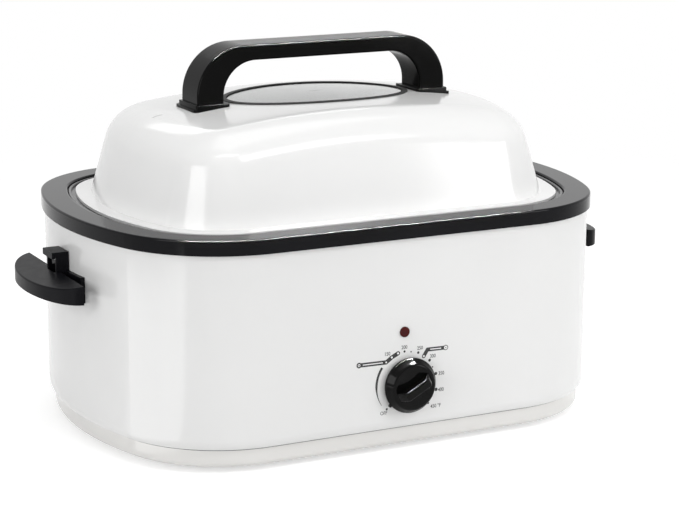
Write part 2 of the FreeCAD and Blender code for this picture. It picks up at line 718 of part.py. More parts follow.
def sensor_pad():
    """The aluminium pad that carries the well's heat to the thermostat."""
    foot = WELL_BOTTOM + WELL_BOTTOM_R + PAD_FOOT_GAP
    top = KNOB_Z + THERMO_HALF_H - PAD_EDGE
    return box(KNOB_X - PAD_HALF_W, KNOB_X + PAD_HALF_W, THERMO_BACK, FRONT + WELL_INSET, foot, top)


def indicator_lens():
    front = FRONT - LAMP_FACE_T
    face = rounded(rod(LAMP_R, Vector(0, front, LAMP_Z), Y, LAMP_FACE_T), LAMP_FACE_EDGE_R, facing(front))
    return face.fuse(rod(LAMP_NECK_R, Vector(0, FRONT, LAMP_Z), Y, LAMP_NECK_L)).removeSplitter()


def indicator_lamp():
    """The neon lamp's body behind the lens."""
    front = Vector(0, FRONT + LAMP_NECK_L, LAMP_Z)
    body = rod(LAMP_NECK_R, front, Y, LAMP_BODY_L)
    return body.fuse(rod(LAMP_TAIL_R, front, Y, LAMP_BODY_L + LAMP_TAIL_L)).removeSplitter()


def lamp_clip():
    return tube(LAMP_CLIP_R, LAMP_NECK_R, Vector(0, FRONT + SHEET_T, LAMP_Z), Y, LAMP_CLIP_T)


def knob():
    """A round skirt with a bevel and a pointer tip, a grip bar across its face and a hollow back."""
    centre = on_axis(KNOB_BACK)
    bevel = Part.makeCone(KNOB_R, KNOB_FACE_R, KNOB_SKIRT - KNOB_RIM, centre - Y * KNOB_RIM, -Y)
    tip_end = KNOB_X + KNOB_R + KNOB_TIP_OUT
    tip = box(tip_end - KNOB_TIP_L, tip_end, KNOB_BACK - KNOB_TIP_T, KNOB_BACK,
              KNOB_Z - KNOB_TIP_W / 2, KNOB_Z + KNOB_TIP_W / 2)
    bar_r = KNOB_FACE_R - KNOB_GRIP_END
    bar = box(KNOB_X - bar_r, KNOB_X + bar_r, KNOB_FRONT, KNOB_FACE + 1,
              KNOB_Z - KNOB_GRIP_W / 2, KNOB_Z + KNOB_GRIP_W / 2)
    bar = bar.common(Part.makeCone(bar_r, bar_r - KNOB_GRIP_DRAFT, KNOB_GRIP + 1, on_axis(KNOB_FACE + 1), -Y))
    bar = rounded(bar, KNOB_GRIP_EDGE_R, facing(KNOB_FRONT))
    recess = rod(KNOB_FACE_R - KNOB_WALL, centre, -Y, KNOB_SKIRT - KNOB_WALL)
    boss = rod(KNOB_BOSS_R, centre - Y * KNOB_BOSS_BACK, -Y, KNOB_SKIRT - KNOB_BOSS_BACK)
    body = rod(KNOB_R, centre, -Y, KNOB_RIM).fuse([bevel, tip, bar]).cut(recess).fuse(boss)
    body = body.cut(rod(SHAFT_R + SHAFT_GAP, centre, -Y, KNOB_SKIRT + KNOB_GRIP - SHAFT_TIP))
    body.rotate(centre, Y, -KNOB_OFF_ANGLE)
    return body.removeSplitter()


def control_shaft():
    """A steel shaft from inside the thermostat into the knob's boss."""
    start = on_axis(FRONT + SHAFT_IN)
    tip = KNOB_FRONT + SHAFT_TIP + REST_GAP
    return rod(SHAFT_R, start, -Y, start.y - tip)


def knob_clip():
    """The spring ring that grips the knob's boss on the shaft."""
    inner = KNOB_BOSS_R + SEAT_GAP
    start = on_axis(KNOB_BACK - KNOB_BOSS_BACK - CLIP_W / 2)
    return tube(inner + CLIP_T, inner, start, -Y, CLIP_W)


# ---- Side handles ----
def half_moon(inset, z0, z1):
    """The grip's plan: a straight inner edge and half an ellipse outside it."""
    ellipse = Part.Ellipse(Vector(SIDE_CHORD, 0, z0), SIDE_HALF_W - inset, SIDE_END - SIDE_CHORD - inset)
    ellipse.rotate(FreeCAD.Placement(Vector(SIDE_CHORD, 0, z0), Rotation(Z, 90)))
    disc = Part.Face(Part.Wire(ellipse.toShape())).extrude(Z * (z1 - z0))
    return disc.common(box(SIDE_CHORD + inset, SIDE_END, -SIDE_HALF_W, SIDE_HALF_W, z0, z1))


def above_grip(drop):
    """The space above the grip's sloping top, lowered by drop."""
    inner, outer = SIDE_CHORD - SIDE_WALL, SIDE_END + SIDE_WALL
    fall = SIDE_SLOPE * (outer - SIDE_CHORD) / (SIDE_END - SIDE_CHORD)
    top = SIDE_TOP + SIDE_SLOPE
    profile = [Vector(x, -SIDE_HALF_W, z) for x, z in (
        (inner, SIDE_TOP - drop), (SIDE_CHORD, SIDE_TOP - drop), (outer, SIDE_TOP - drop - fall),
        (outer, top), (inner, top), (inner, SIDE_TOP - drop))]
    return Part.Face(Part.makePolygon(profile)).extrude(Y * 2 * SIDE_HALF_W)


def side_grip():
    """A half-moon deck that slopes outwards, with a skirt, hollow below."""
    grip = half_moon(0, SIDE_FOOT, SIDE_TOP).cut(above_grip(0))
    grip = rounded(grip, SIDE_EDGE_R,
                   lambda b: b.YLength > SIDE_HALF_W and b.XLength > 1 and b.ZMin > SIDE_FOOT + 1)
    return grip.cut(half_moon(SIDE_WALL, SIDE_FOOT, SIDE_TOP).cut(above_grip(SIDE_WALL)))


def parking_bracket():
    """An upright box with a slot for the lid's edge, over a bridge from the plate to the grip."""
    root = HALF_LENGTH + SIDE_PLATE_T - BRACKET_WALL
    slot_x = HALF_LENGTH + SIDE_PLATE_T
    cheek_end = HALF_LENGTH + BRACKET_CHEEK_REACH
    half = BRACKET_HALF_W
    inner = half - BRACKET_WALL
    roof_z = BRACKET_TOP - BRACKET_WALL
    end = HALF_LENGTH + BRACKET_REACH
    pit_z = SIDE_TOP - PARK_PIT_H
    bridge = box(root, SIDE_CHORD + SIDE_WALL, -half, half, SIDE_FOOT, SIDE_TOP)
    cheeks = box(root, cheek_end, -half, half, pit_z, BRACKET_TOP)
    cheeks = cheeks.cut(box(slot_x, cheek_end, -inner, inner, SIDE_TOP, roof_z))
    roof = box(root, end, -half, half, roof_z, BRACKET_TOP)
    lip = box(end - BRACKET_WALL, end, -half, half, BRACKET_TOP - BRACKET_LIP_H, BRACKET_TOP)
    pit_end = SIDE_CHORD + PARK_PIT_L
    wall = PARK_PIT_WALL
    tray = box(SIDE_CHORD, pit_end + wall, -inner - wall, inner + wall, pit_z - wall, SIDE_TOP)
    tray = tray.cut(above_grip(0))
    window_z = SIDE_TOP + BRACKET_WINDOW_Z
    window = box(slot_x, slot_x + BRACKET_WINDOW_W, inner, half, window_z, window_z + BRACKET_WINDOW_H)
    pit = box(slot_x, pit_end, -inner, inner, pit_z, SIDE_TOP)
    return bridge.fuse([cheeks, roof, lip, tray]).cut(window), pit


def right_handle():
    """A grip on a plate that fits the casing's bowed end, with a bracket between them."""
    zone = box(0, SIDE_END, -SIDE_PLATE_HALF_W, SIDE_PLATE_HALF_W, SIDE_PLATE_Z, SIDE_TOP + SIDE_PLATE_RISE)
    plate = band(-SIDE_PLATE_T, -SEAT_GAP, SIDE_PLATE_Z, SIDE_TOP + SIDE_PLATE_RISE).common(zone)
    bracket, pit = parking_bracket()
    handle = plate.fuse([side_grip(), bracket]).cut(pit)
    for start, end in side_screw_places():
        if end > 0:
            seat = Vector(end_x(start.y, -SEAT_GAP) + SEAT_GAP, start.y, start.z)
            handle = handle.fuse(rod(SIDE_BOSS_R, seat + X, X, SIDE_BOSS_L - 1))
            handle = handle.cut(rod(SCREW_R, start, X, SIDE_SCREW_L))
    return handle.removeSplitter()


def side_screw_places():
    """Where the heads of the side handles' screws seat inside the casing, and to which end they point."""
    places = []
    for end in (-1, 1):
        for y in (-SIDE_SCREW_Y, SIDE_SCREW_Y):
            x = end_x(y, SHEET_T) - SIDE_SCREW_BACK
            places.append((Vector(end * x, y, SIDE_SCREW_Z), end))
    return places


def side_screws():
    return [screw(start, X * end, SIDE_SCREW_L) for start, end in side_screw_places()]


def side_washers():
    return [tube(SIDE_WASHER_R, SCREW_R + HOLE_GAP, start, X * end, WASHER_T)
            for start, end in side_screw_places()]


# ---- Wiring ----
def block_screw_places():
    """Where the heads of the terminal block's screws seat on the casing's back."""
    return [Vector(x, BACK, BLOCK_Z + BLOCK_H / 2) for x in (-BLOCK_SCREW_X, BLOCK_SCREW_X)]


def terminal_block():
    back = BACK - SHEET_T
    block = box(-BLOCK_HALF_W, BLOCK_HALF_W, back - BLOCK_T, back, BLOCK_Z, BLOCK_Z + BLOCK_H)
    holes = [rod(SCREW_R, start, -Y, BLOCK_HOLE_L) for start in block_screw_places()]
    return block.cut(Part.makeCompound(holes))


def block_screws():
    return [screw(start, -Y, BLOCK_SCREW_L) for start in block_screw_places()]


def internal_leads():
    """Two insulated leads under the heat shield, from the terminal block to the thermostat."""
    top = KNOB_Z - THERMO_HALF_H - TAB_H
    front_y = THERMO_FRONT + TAB_Y + TAB_T / 2
    back_y = BACK - COLLAR_INSET - SHEET_T - LEAD_R - LEAD_COLLAR_GAP
    leads = []
    for x in lead_places():
        points = [Vector(x, back_y, BLOCK_Z), Vector(x, back_y, LEAD_Z),
                  Vector(x, front_y, LEAD_Z), Vector(x, front_y, top)]
        leads.append(wire_along(path(points, LEAD_BEND_R), LEAD_R, points[0], -Z))
    return leads


def heater_leads():
    """Two leads from the heater's posts down to the terminal block."""
    post_y = HALF_DEPTH - HEATER_INSET + TERMINAL_FOOT_T + TERMINAL_POST_L
    block_y = BACK - SHEET_T - BLOCK_T / 2
    z = HEATER_Z + TERMINAL_RISE
    leads = []
    for x in (-TERMINAL_X, TERMINAL_X):
        points = [Vector(x, post_y, z), Vector(x, block_y, z), Vector(x, block_y, BLOCK_Z + BLOCK_H)]
        leads.append(wire_along(path(points, HEATER_LEAD_BEND_R), LEAD_R, points[0], Y))
    return leads


def cord_gland():
    """The bush that a mains cord passes through: a flange outside the casing, a square neck and a collar."""
    end = Vector(GLAND_X, GLAND_END, GLAND_Z)
    length = GLAND_NOSE_L + GLAND_NECK_L
    flange = rod(GLAND_FLANGE_R, Vector(GLAND_X, BACK, GLAND_Z), Y, GLAND_FLANGE_T)
    inner_nut = hexagon(GLAND_NUT_W, Vector(GLAND_X, BACK - SHEET_T, GLAND_Z), -Y, GLAND_NUT_T)
    nose = rod(GLAND_NOSE_R, end, -Y, GLAND_NOSE_L)
    neck = gland_square(GLAND_NECK_HALF_W, GLAND_END - length, BACK + GLAND_FLANGE_T)
    gland = neck.fuse([flange, nose, inner_nut])
    return gland.cut(rod(GLAND_BORE_R, end, -Y, length)).removeSplitter()


# ---- Pan and rack ----
def pan_form(inset, floor, top, r):
    return rounded(drafted(inset + PAN_DRAFT, floor, inset, top), r, level(floor))


def roasting_pan():
    outer = pan_form(PAN_INSET, PAN_BOTTOM, PAN_FLANGE_TOP, PAN_BOTTOM_R)
    inner = pan_form(PAN_INSET + PAN_T, PAN_FLOOR, PAN_FLANGE_TOP, PAN_BOTTOM_R - PAN_T)
    flange = slab(PAN_FLANGE_INSET, PAN_FLANGE_Z, PAN_FLANGE_TOP)
    bead_top = PAN_FLANGE_Z + BEAD_H
    bead = band(PAN_FLANGE_INSET, PAN_FLANGE_INSET + BEAD_W, PAN_FLANGE_Z, bead_top)
    bead = rounded(bead, BEAD_R, level(bead_top))
    return outer.fuse([flange, bead]).cut(inner).removeSplitter()


def rack_bail(end):
    """An upright loop at one end of the rack, to lift it by."""
    x = end * (end_x(RACK_BAIL_W / 2, RACK_INSET) - RACK_WIRE_R / 2)
    half = RACK_BAIL_W / 2
    top = RACK_Z + RACK_BAIL_H
    points = [Vector(x, -half, RACK_Z), Vector(x, -half, top), Vector(x, half, top), Vector(x, half, RACK_Z)]
    return wire_along(path(points, RACK_BAIL_R), RACK_WIRE_R, points[0], Z)


def roasting_rack():
    """A wire frame on four legs, with cross wires and a lifting bail at each end."""
    side = HALF_DEPTH - RACK_INSET
    frame = wire_along(outline(RACK_INSET, RACK_Z), RACK_WIRE_R, Vector(-CORNER_X, -side, RACK_Z), X)
    wires = [rack_bail(-1), rack_bail(1)]
    reach = HALF_LENGTH - RACK_INSET - RACK_CROSS_MARGIN
    for i in range(RACK_CROSS_COUNT):
        x = -reach + 2 * reach * i / (RACK_CROSS_COUNT - 1)
        half = half_depth_at(x, RACK_INSET)
        wires.append(rod(RACK_CROSS_R, Vector(x, -half, RACK_Z), Y, 2 * half))
    for y in (-side / 2, side / 2):
        half = end_x(y, RACK_INSET)
        wires.append(rod(RACK_WIRE_R, Vector(-half, y, RACK_Z), X, 2 * half))
    for x, y in corners(CORNER_X, side / 2):
        wires.append(rod(RACK_WIRE_R, Vector(x, y, PAN_FLOOR + REST_GAP), Z, RACK_LIFT - REST_GAP))
    return frame.fuse(wires).removeSplitter()


# ---- Lid ----
def dome(drop):
    """The dome's form, with every surface drop further in: drafted walls, a round shoulder, a crown."""
    foot = LID_FLANGE_TOP - LID_T
    top = CROWN_Z + LID_RISE / 4
    inset = DOME_INSET + drop
    walls = drafted(inset, foot, inset + (top - foot) * tan(radians(DOME_TAPER)), top)
    return rounded(walls.common(ball(drop)), SHOULDER_R - drop, lambda b: b.ZMin > RIM_TOP + LID_RISE / 2)


def lid_shell():
    plate = slab(LID_INSET, LID_Z, LID_FLANGE_TOP)
    hollow = slab(LID_INSET + LID_T, LID_Z, LID_FLANGE_TOP - LID_T)
    shell = plate.fuse(dome(0)).cut(hollow).cut(dome(LID_T)).cut(on_crown(WINDOW_A, WINDOW_B))
    vent_z = crown_z(VENT_X, 0)
    vent = box(VENT_X - VENT_L / 2, VENT_X + VENT_L / 2, -VENT_W / 2, VENT_W / 2,
               vent_z - VENT_L, vent_z + VENT_W)
    drop = LID_RISE / 4
    return shell.cut(vent).cut(upright_holes(grip_screw_places(), SCREW_R + HOLE_GAP, CROWN_Z - drop, drop))


def window_glass():
    disc = on_crown(WINDOW_A - GLASS_INSET, WINDOW_B - GLASS_INSET)
    return disc.common(ball(0).cut(ball(GLASS_T)))


def window_gasket():
    """A black ring with a lip over the dome's edge and another over the glass."""
    inner = GASKET_LIP + GLASS_INSET
    glass_edge = GLASS_INSET - SEAT_GAP
    ring = on_crown(WINDOW_A + GASKET_LIP, WINDOW_B + GASKET_LIP)
    ring = ring.cut(on_crown(WINDOW_A - inner, WINDOW_B - inner))
    ring = ring.common(ball(-GASKET_T).cut(ball(GLASS_T + GASKET_T)))
    outside = on_crown(WINDOW_A + 2 * GASKET_LIP, WINDOW_B + 2 * GASKET_LIP)
    outside = outside.cut(on_crown(WINDOW_A - SEAT_GAP, WINDOW_B - SEAT_GAP))
    shell_zone = outside.common(ball(-SEAT_GAP).cut(ball(LID_T + SEAT_GAP)))
    glass_zone = on_crown(WINDOW_A - glass_edge, WINDOW_B - glass_edge)
    glass_zone = glass_zone.common(ball(-SEAT_GAP).cut(ball(GLASS_T + SEAT_GAP)))
    return ring.cut(shell_zone).cut(glass_zone)


def grip_screw_places():
    return corners(GRIP_HALF - GRIP_LEG / 2, GRIP_SCREW_Y)


def arch_blank(half, depth, top, r):
    """An upright block from below the base plates up to top, its upper corners rounded."""
    foot = GRIP_BASE_TOP - r
    return rounded(box(-half, half, -depth / 2, depth / 2, foot, top), r, front_to_back(top))


def lid_handle():
    """A flat arch: two upright legs and a thinner bar, with wide round shoulders."""
    outer = arch_blank(GRIP_HALF, GRIP_DEPTH, GRIP_TOP, GRIP_OUTER_R)
    inner = arch_blank(GRIP_HALF - GRIP_LEG, 2 * GRIP_DEPTH, GRIP_TOP - GRIP_BAR, GRIP_INNER_R)
    below = box(-GRIP_HALF, GRIP_HALF, -GRIP_DEPTH, GRIP_DEPTH, 0, GRIP_BASE_TOP)
    arch = outer.cut(inner).cut(below)
    arch = rounded(arch, GRIP_EDGE_R, lambda b: b.YLength < 0.01 and b.ZMax > GRIP_BASE_TOP + 0.01)
    return arch.cut(upright_holes(grip_screw_places(), SCREW_R, GRIP_BASE_TOP, GRIP_SCREW_IN + SCREW_R))


def grip_base_right():
    """The plate between a leg and the dome, hollowed to sit on the crown."""
    half = GRIP_DEPTH / 2 + GRIP_BASE_LAP
    foot = CROWN_Z - LID_RISE / 4
    plate = box(GRIP_BASE_X0, GRIP_BASE_X1, -half, half, foot, GRIP_BASE_TOP)
    plate = rounded(plate, GRIP_BASE_CORNER_R, lambda b: b.ZLength > 1)
    plate = rounded(plate, GRIP_BASE_EDGE_R, level(GRIP_BASE_TOP)).cut(ball(-SEAT_GAP))
    return plate.cut(upright_holes(grip_screw_places(), SCREW_R + HOLE_GAP, foot, LID_RISE))


def washer_foot(x, y):
    """The underside of a washer that lies against the inside of the dome at x, y."""
    return crown_z(abs(x) + GRIP_WASHER_R, abs(y) + GRIP_WASHER_R, LID_T) - WASHER_T


def grip_screws():
    top = GRIP_BASE_TOP + GRIP_SCREW_IN
    return [screw(Vector(x, y, washer_foot(x, y)), Z, top - washer_foot(x, y))
            for x, y in grip_screw_places()]


def grip_washers():
    return [tube(GRIP_WASHER_R, SCREW_R + HOLE_GAP, Vector(x, y, washer_foot(x, y)), Z, WASHER_T)
            for x, y in grip_screw_places()]


os.makedirs("parts", exist_ok=True)

save("outer_casing", outer_casing())
save("base_pan", base_pan())
save("rim", rim())
save("rim_screws", *rim_screws())
save("cook_well", cook_well())
save("heater_band", heater_band())
save("heater_clamp", *heater_clamp())
save("heater_terminals", *heater_terminals())
save("heater_leads", *heater_leads())
save("insulation_blanket", insulation_blanket())
save("heat_shield", heat_shield())
save("tie_studs", *tie_studs())
save("stud_spacers", *stud_spacers())
save("stud_nuts", *stud_nuts())
save("feet", *feet())
save("foot_screws", *foot_screws())

save("thermostat_body", thermostat_body())
save("thermostat_nut", thermostat_nut())
save("thermostat_terminals", *thermostat_terminals())
save("sensor_pad", sensor_pad())
save("indicator_lens", indicator_lens())
save("indicator_lamp", indicator_lamp())
save("lamp_clip", lamp_clip())
save("knob", knob())
save("control_shaft", control_shaft())
save("knob_clip", knob_clip())

save("right_handle", right_handle())
save("left_handle", mirrored(right_handle()))
save("side_screws", *side_screws())
save("side_washers", *side_washers())

save("terminal_block", terminal_block())
save("block_screws", *block_screws())
save("internal_leads", *internal_leads())
save("cord_gland", cord_gland())

save("roasting_pan", roasting_pan())
save("roasting_rack", roasting_rack())

save("lid_shell", lid_shell())
save("window_glass", window_glass())
save("window_gasket", window_gasket())
save("lid_handle", lid_handle())
save("grip_base_right", grip_base_right())
save("grip_base_left", mirrored(grip_base_right()))
save("grip_screws", *grip_screws())
save("grip_washers", *grip_washers())
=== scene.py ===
"""Electric roaster oven: the looks of every piece, on the fixed CAD frame.

Metres, +Z up, the front towards -Y.
"""
from math import atan2, cos, pi, radians, sin, sqrt

import bmesh
import bpy
from mathutils import Matrix, Quaternion, Vector


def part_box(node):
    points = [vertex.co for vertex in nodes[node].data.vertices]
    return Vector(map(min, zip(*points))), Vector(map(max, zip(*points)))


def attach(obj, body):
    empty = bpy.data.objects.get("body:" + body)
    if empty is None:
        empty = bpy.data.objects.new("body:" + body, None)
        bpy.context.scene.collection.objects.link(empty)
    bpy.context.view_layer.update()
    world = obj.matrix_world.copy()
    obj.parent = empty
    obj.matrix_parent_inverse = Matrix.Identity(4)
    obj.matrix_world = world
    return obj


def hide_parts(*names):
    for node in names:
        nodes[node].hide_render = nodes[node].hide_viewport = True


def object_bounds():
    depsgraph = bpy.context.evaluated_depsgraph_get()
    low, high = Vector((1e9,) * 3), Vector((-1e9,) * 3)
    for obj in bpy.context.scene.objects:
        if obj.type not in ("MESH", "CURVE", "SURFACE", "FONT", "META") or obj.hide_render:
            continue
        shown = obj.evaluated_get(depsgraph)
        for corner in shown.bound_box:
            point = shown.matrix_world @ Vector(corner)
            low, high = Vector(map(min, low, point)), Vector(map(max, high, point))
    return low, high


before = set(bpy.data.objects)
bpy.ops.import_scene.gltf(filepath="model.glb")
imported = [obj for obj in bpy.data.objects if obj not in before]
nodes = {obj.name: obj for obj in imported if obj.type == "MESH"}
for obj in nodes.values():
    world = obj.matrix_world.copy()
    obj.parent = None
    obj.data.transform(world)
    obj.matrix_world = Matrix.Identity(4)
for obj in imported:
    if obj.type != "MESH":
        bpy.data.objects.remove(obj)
cad_low, cad_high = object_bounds()
scene = bpy.context.scene

# ---- View ----
# A long lens from the front left, a little above the rim: the front, the left end and the top of the lid
# show.
AZIMUTH = radians(-26.677)
ELEVATION = radians(13.444)
ROLL = radians(0.149)
DISTANCE = 2.1616
LENS_MM = 114.5
SENSOR_MM = 36.0
SHIFT_X = 0.0025
SHIFT_Y = -0.0012
MIDDLE_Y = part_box("outer_casing")[0].y / 2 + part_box("outer_casing")[1].y / 2
AIM = Vector((0.0251, MIDDLE_Y, 0.1392))


def hold(*pieces):
    """Selects these pieces and no other; the first becomes the active one."""
    bpy.ops.object.select_all(action="DESELECT")
    for piece in pieces:
        piece.select_set(True)
    if pieces:
        bpy.context.view_layer.objects.active = pieces[0]


towards_camera = Vector((sin(AZIMUTH) * cos(ELEVATION), -cos(AZIMUTH) * cos(ELEVATION), sin(ELEVATION)))
hold()
bpy.ops.object.camera_add(location=AIM + towards_camera * DISTANCE)
camera = bpy.context.object
camera.rotation_mode = "QUATERNION"
camera.rotation_quaternion = (-towards_camera).to_track_quat("-Z", "Y") @ Quaternion((0, 0, 1), ROLL)
camera.data.lens = LENS_MM
camera.data.sensor_width = SENSOR_MM
camera.data.shift_x = SHIFT_X
camera.data.shift_y = SHIFT_Y
camera.data.clip_end = 50.0
scene.camera = camera

# ---- Studio ----
# White paper under the oven fades out into an even white surround, which mirrors and glass show too. Soft
# boxes light it from all sides, with a small key light at the upper right, a strip light that only the
# black pieces catch, and a bright card on the paper that only glossy faces see.
scene.view_settings.view_transform = "Standard"
AMBIENT = 0.335
PAPER_GLOW = 0.50
PAPER_NEAR = 0.7
PAPER_FAR = 1.5
CARD_CORNERS = ((-0.27, -0.177), (-0.97, -0.68), (-0.27, -0.086), (-0.97, 0.33))
CARD_Z = 0.0005
CARD_GLOW = 2.8
world = bpy.data.worlds.new("white_surround")
scene.world = world
world.use_nodes = True


def ray_switch(tree, low, high):
    """A number: high for what the camera, a mirror or glass sees, low for the light that falls on things."""
    rays = tree.nodes.new("ShaderNodeLightPath")
    total = rays.outputs["Is Camera Ray"]
    for kind in ("Is Glossy Ray", "Is Transmission Ray"):
        larger = tree.nodes.new("ShaderNodeMath")
        larger.operation = "MAXIMUM"
        tree.links.new(total, larger.inputs[0])
        tree.links.new(rays.outputs[kind], larger.inputs[1])
        total = larger.outputs[0]
    level = tree.nodes.new("ShaderNodeMapRange")
    level.inputs["To Min"].default_value = low
    level.inputs["To Max"].default_value = high
    tree.links.new(total, level.inputs["Value"])
    return level.outputs["Result"]


background = world.node_tree.nodes["Background"]
background.inputs["Color"].default_value = (1, 1, 1, 1)
world.node_tree.links.new(ray_switch(world.node_tree, AMBIENT, 1.0), background.inputs["Strength"])

hold()
bpy.ops.mesh.primitive_plane_add(size=16, location=(0, 0, 0))
floor = bpy.context.object
floor.name = "floor"
paper = bpy.data.materials.new("white_paper")
paper.use_nodes = True
paper_tree = paper.node_tree
paper_shader = paper_tree.nodes["Principled BSDF"]
paper_shader.inputs["Base Color"].default_value = (0.9, 0.9, 0.9, 1)
paper_shader.inputs["Roughness"].default_value = 0.9
paper_shader.inputs["Specular IOR Level"].default_value = 0.0
paper_shader.inputs["Emission Color"].default_value = (1, 1, 1, 1)
paper_tree.links.new(ray_switch(paper_tree, 0.0, PAPER_GLOW), paper_shader.inputs["Emission Strength"])
unseen = paper_tree.nodes.new("ShaderNodeBsdfTransparent")
side = paper_tree.nodes.new("ShaderNodeNewGeometry")
spot = paper_tree.nodes.new("ShaderNodeTexCoord")
reach = paper_tree.nodes.new("ShaderNodeVectorMath")
reach.operation = "LENGTH"
fade = paper_tree.nodes.new("ShaderNodeMapRange")
fade.interpolation_type = "SMOOTHSTEP"
fade.inputs["From Min"].default_value = PAPER_NEAR
fade.inputs["From Max"].default_value = PAPER_FAR
unseen_part = paper_tree.nodes.new("ShaderNodeMath")
unseen_part.operation = "MAXIMUM"
one_sided = paper_tree.nodes.new("ShaderNodeMixShader")
paper_tree.links.new(spot.outputs["Object"], reach.inputs[0])
paper_tree.links.new(reach.outputs["Value"], fade.inputs["Value"])
paper_tree.links.new(fade.outputs["Result"], unseen_part.inputs[0])
paper_tree.links.new(side.outputs["Backfacing"], unseen_part.inputs[1])
paper_tree.links.new(unseen_part.outputs["Value"], one_sided.inputs["Fac"])
paper_tree.links.new(paper_shader.outputs["BSDF"], one_sided.inputs[1])
paper_tree.links.new(unseen.outputs["BSDF"], one_sided.inputs[2])
paper_tree.links.new(one_sided.outputs["Shader"], paper_tree.nodes["Material Output"].inputs["Surface"])
floor.data.materials.append(paper)


def soft_box(name, place, width, height, watts):
    """A rectangular lamp that points at the middle of the oven."""
    hold()
    bpy.ops.object.light_add(type="AREA", location=place)
    lamp = bpy.context.object
    lamp.name = name
    lamp.rotation_mode = "QUATERNION"
    lamp.rotation_quaternion = (AIM - Vector(place)).to_track_quat("-Z", "Y")
    lamp.data.shape = "RECTANGLE"
    lamp.data.size = width
    lamp.data.size_y = height
    lamp.data.energy = watts


soft_box("soft_box_left", (-1.90, -0.90, 0.70), 1.1, 1.0, 14.5)
soft_box("soft_box_right", (0.80, -0.98, 0.45), 0.4, 0.5, 3.6)
soft_box("key_light", (0.80, -1.55, 1.60), 0.35, 0.35, 6)
soft_box("soft_box_top", (0.15, -0.1, 1.9), 1.4, 1.0, 7)
soft_box("soft_box_back", (0.3, 1.5, 1.4), 1.4, 0.5, 4)
soft_box("soft_box_front", (-0.2, -1.1, 1.7), 1.3, 0.02, 3)
soft_box("strip_light", (0.02, -0.2, 1.6), 1.85, 0.04, 535)
strip_light = bpy.context.object
strip_light.visible_diffuse = False
black_pieces = bpy.data.collections.new("black_pieces")
strip_light.light_linking.receiver_collection = black_pieces

hold()
bpy.ops.mesh.primitive_plane_add(size=1, location=(0, 0, 0))
card = bpy.context.object
card.name = "bright_card"
for corner, (x, y) in zip(card.data.vertices, CARD_CORNERS):
    corner.co = (x, y, CARD_Z)
for ray_kind in ("camera", "diffuse", "transmission", "shadow"):
    setattr(card, "visible_" + ray_kind, False)
glow = bpy.data.materials.new("bright_card_glow")
glow.use_nodes = True
glow_shader = glow.node_tree.nodes["Principled BSDF"]
glow_shader.inputs["Base Color"].default_value = (0, 0, 0, 1)
glow_shader.inputs["Emission Color"].default_value = (1, 1, 1, 1)
glow_shader.inputs["Emission Strength"].default_value = CARD_GLOW
card.data.materials.append(glow)


# ---- Casing and base pan ----
# The outer wall is one strip of steel, rolled to an oblong and curled in at its foot; the base pan below it
# is pressed from sheet. Both are sprayed with gloss white enamel and baked, which leaves a faint orange
# peel.
def start_material(name):
    """A new node material, its shader and the piece's own coordinates."""
    finish = bpy.data.materials.new(name)
    finish.use_nodes = True
    place = finish.node_tree.nodes.new("ShaderNodeTexCoord")
    return finish, finish.node_tree.nodes["Principled BSDF"], place.outputs["Object"]


def noise(finish, place, scale, detail=3.0, stretch=(1, 1, 1)):
    """A cloudy pattern from 0 to 1; stretch draws it out along the axes with small values."""
    tree = finish.node_tree
    spread = tree.nodes.new("ShaderNodeMapping")
    spread.inputs["Scale"].default_value = stretch
    pattern = tree.nodes.new("ShaderNodeTexNoise")
    pattern.inputs["Scale"].default_value = scale
    pattern.inputs["Detail"].default_value = detail
    tree.links.new(place, spread.inputs["Vector"])
    tree.links.new(spread.outputs["Vector"], pattern.inputs["Vector"])
    return pattern.outputs["Fac"]


def vary(finish, pattern, socket, low, high):
    """Drives a number socket between low and high over the middle of the pattern."""
    tree = finish.node_tree
    spread = tree.nodes.new("ShaderNodeMapRange")
    spread.inputs["From Min"].default_value = 0.3
    spread.inputs["From Max"].default_value = 0.7
    spread.inputs["To Min"].default_value = low
    spread.inputs["To Max"].default_value = high
    tree.links.new(pattern, spread.inputs["Value"])
    tree.links.new(spread.outputs["Result"], socket)


def tint(finish, pattern, socket, first, second, start=0.3, end=0.7):
    """Drives a colour socket from the first colour to the second over part of the pattern."""
    tree = finish.node_tree
    ramp = tree.nodes.new("ShaderNodeValToRGB")
    ramp.color_ramp.elements[0].position = start
    ramp.color_ramp.elements[0].color = (*first, 1)
    ramp.color_ramp.elements[1].position = end
    ramp.color_ramp.elements[1].color = (*second, 1)
    tree.links.new(pattern, ramp.inputs["Fac"])
    tree.links.new(ramp.outputs["Color"], socket)


def relief(finish, shader, pattern, depth, strength=1.0):
    """Raises the pattern on the surface; depth is in metres."""
    tree = finish.node_tree
    bump = tree.nodes.new("ShaderNodeBump")
    bump.inputs["Strength"].default_value = strength
    bump.inputs["Distance"].default_value = depth
    tree.links.new(pattern, bump.inputs["Height"])
    tree.links.new(bump.outputs["Normal"], shader.inputs["Normal"])


def dress(finish, *names):
    """Gives CAD nodes their finish."""
    for name in names:
        node = nodes[name]
        if not node.material_slots:
            node.data.materials.append(finish)
        for slot in node.material_slots:
            slot.material = finish


def white_enamel(name, colour):
    finish, shader, place = start_material(name)
    darker = tuple(c * 0.975 for c in colour)
    tint(finish, noise(finish, place, 9.0), shader.inputs["Base Color"], darker, colour)
    vary(finish, noise(finish, place, 60.0), shader.inputs["Roughness"], 0.13, 0.17)
    relief(finish, shader, noise(finish, place, 90.0, 1.0), 0.00002, 0.1)
    return finish


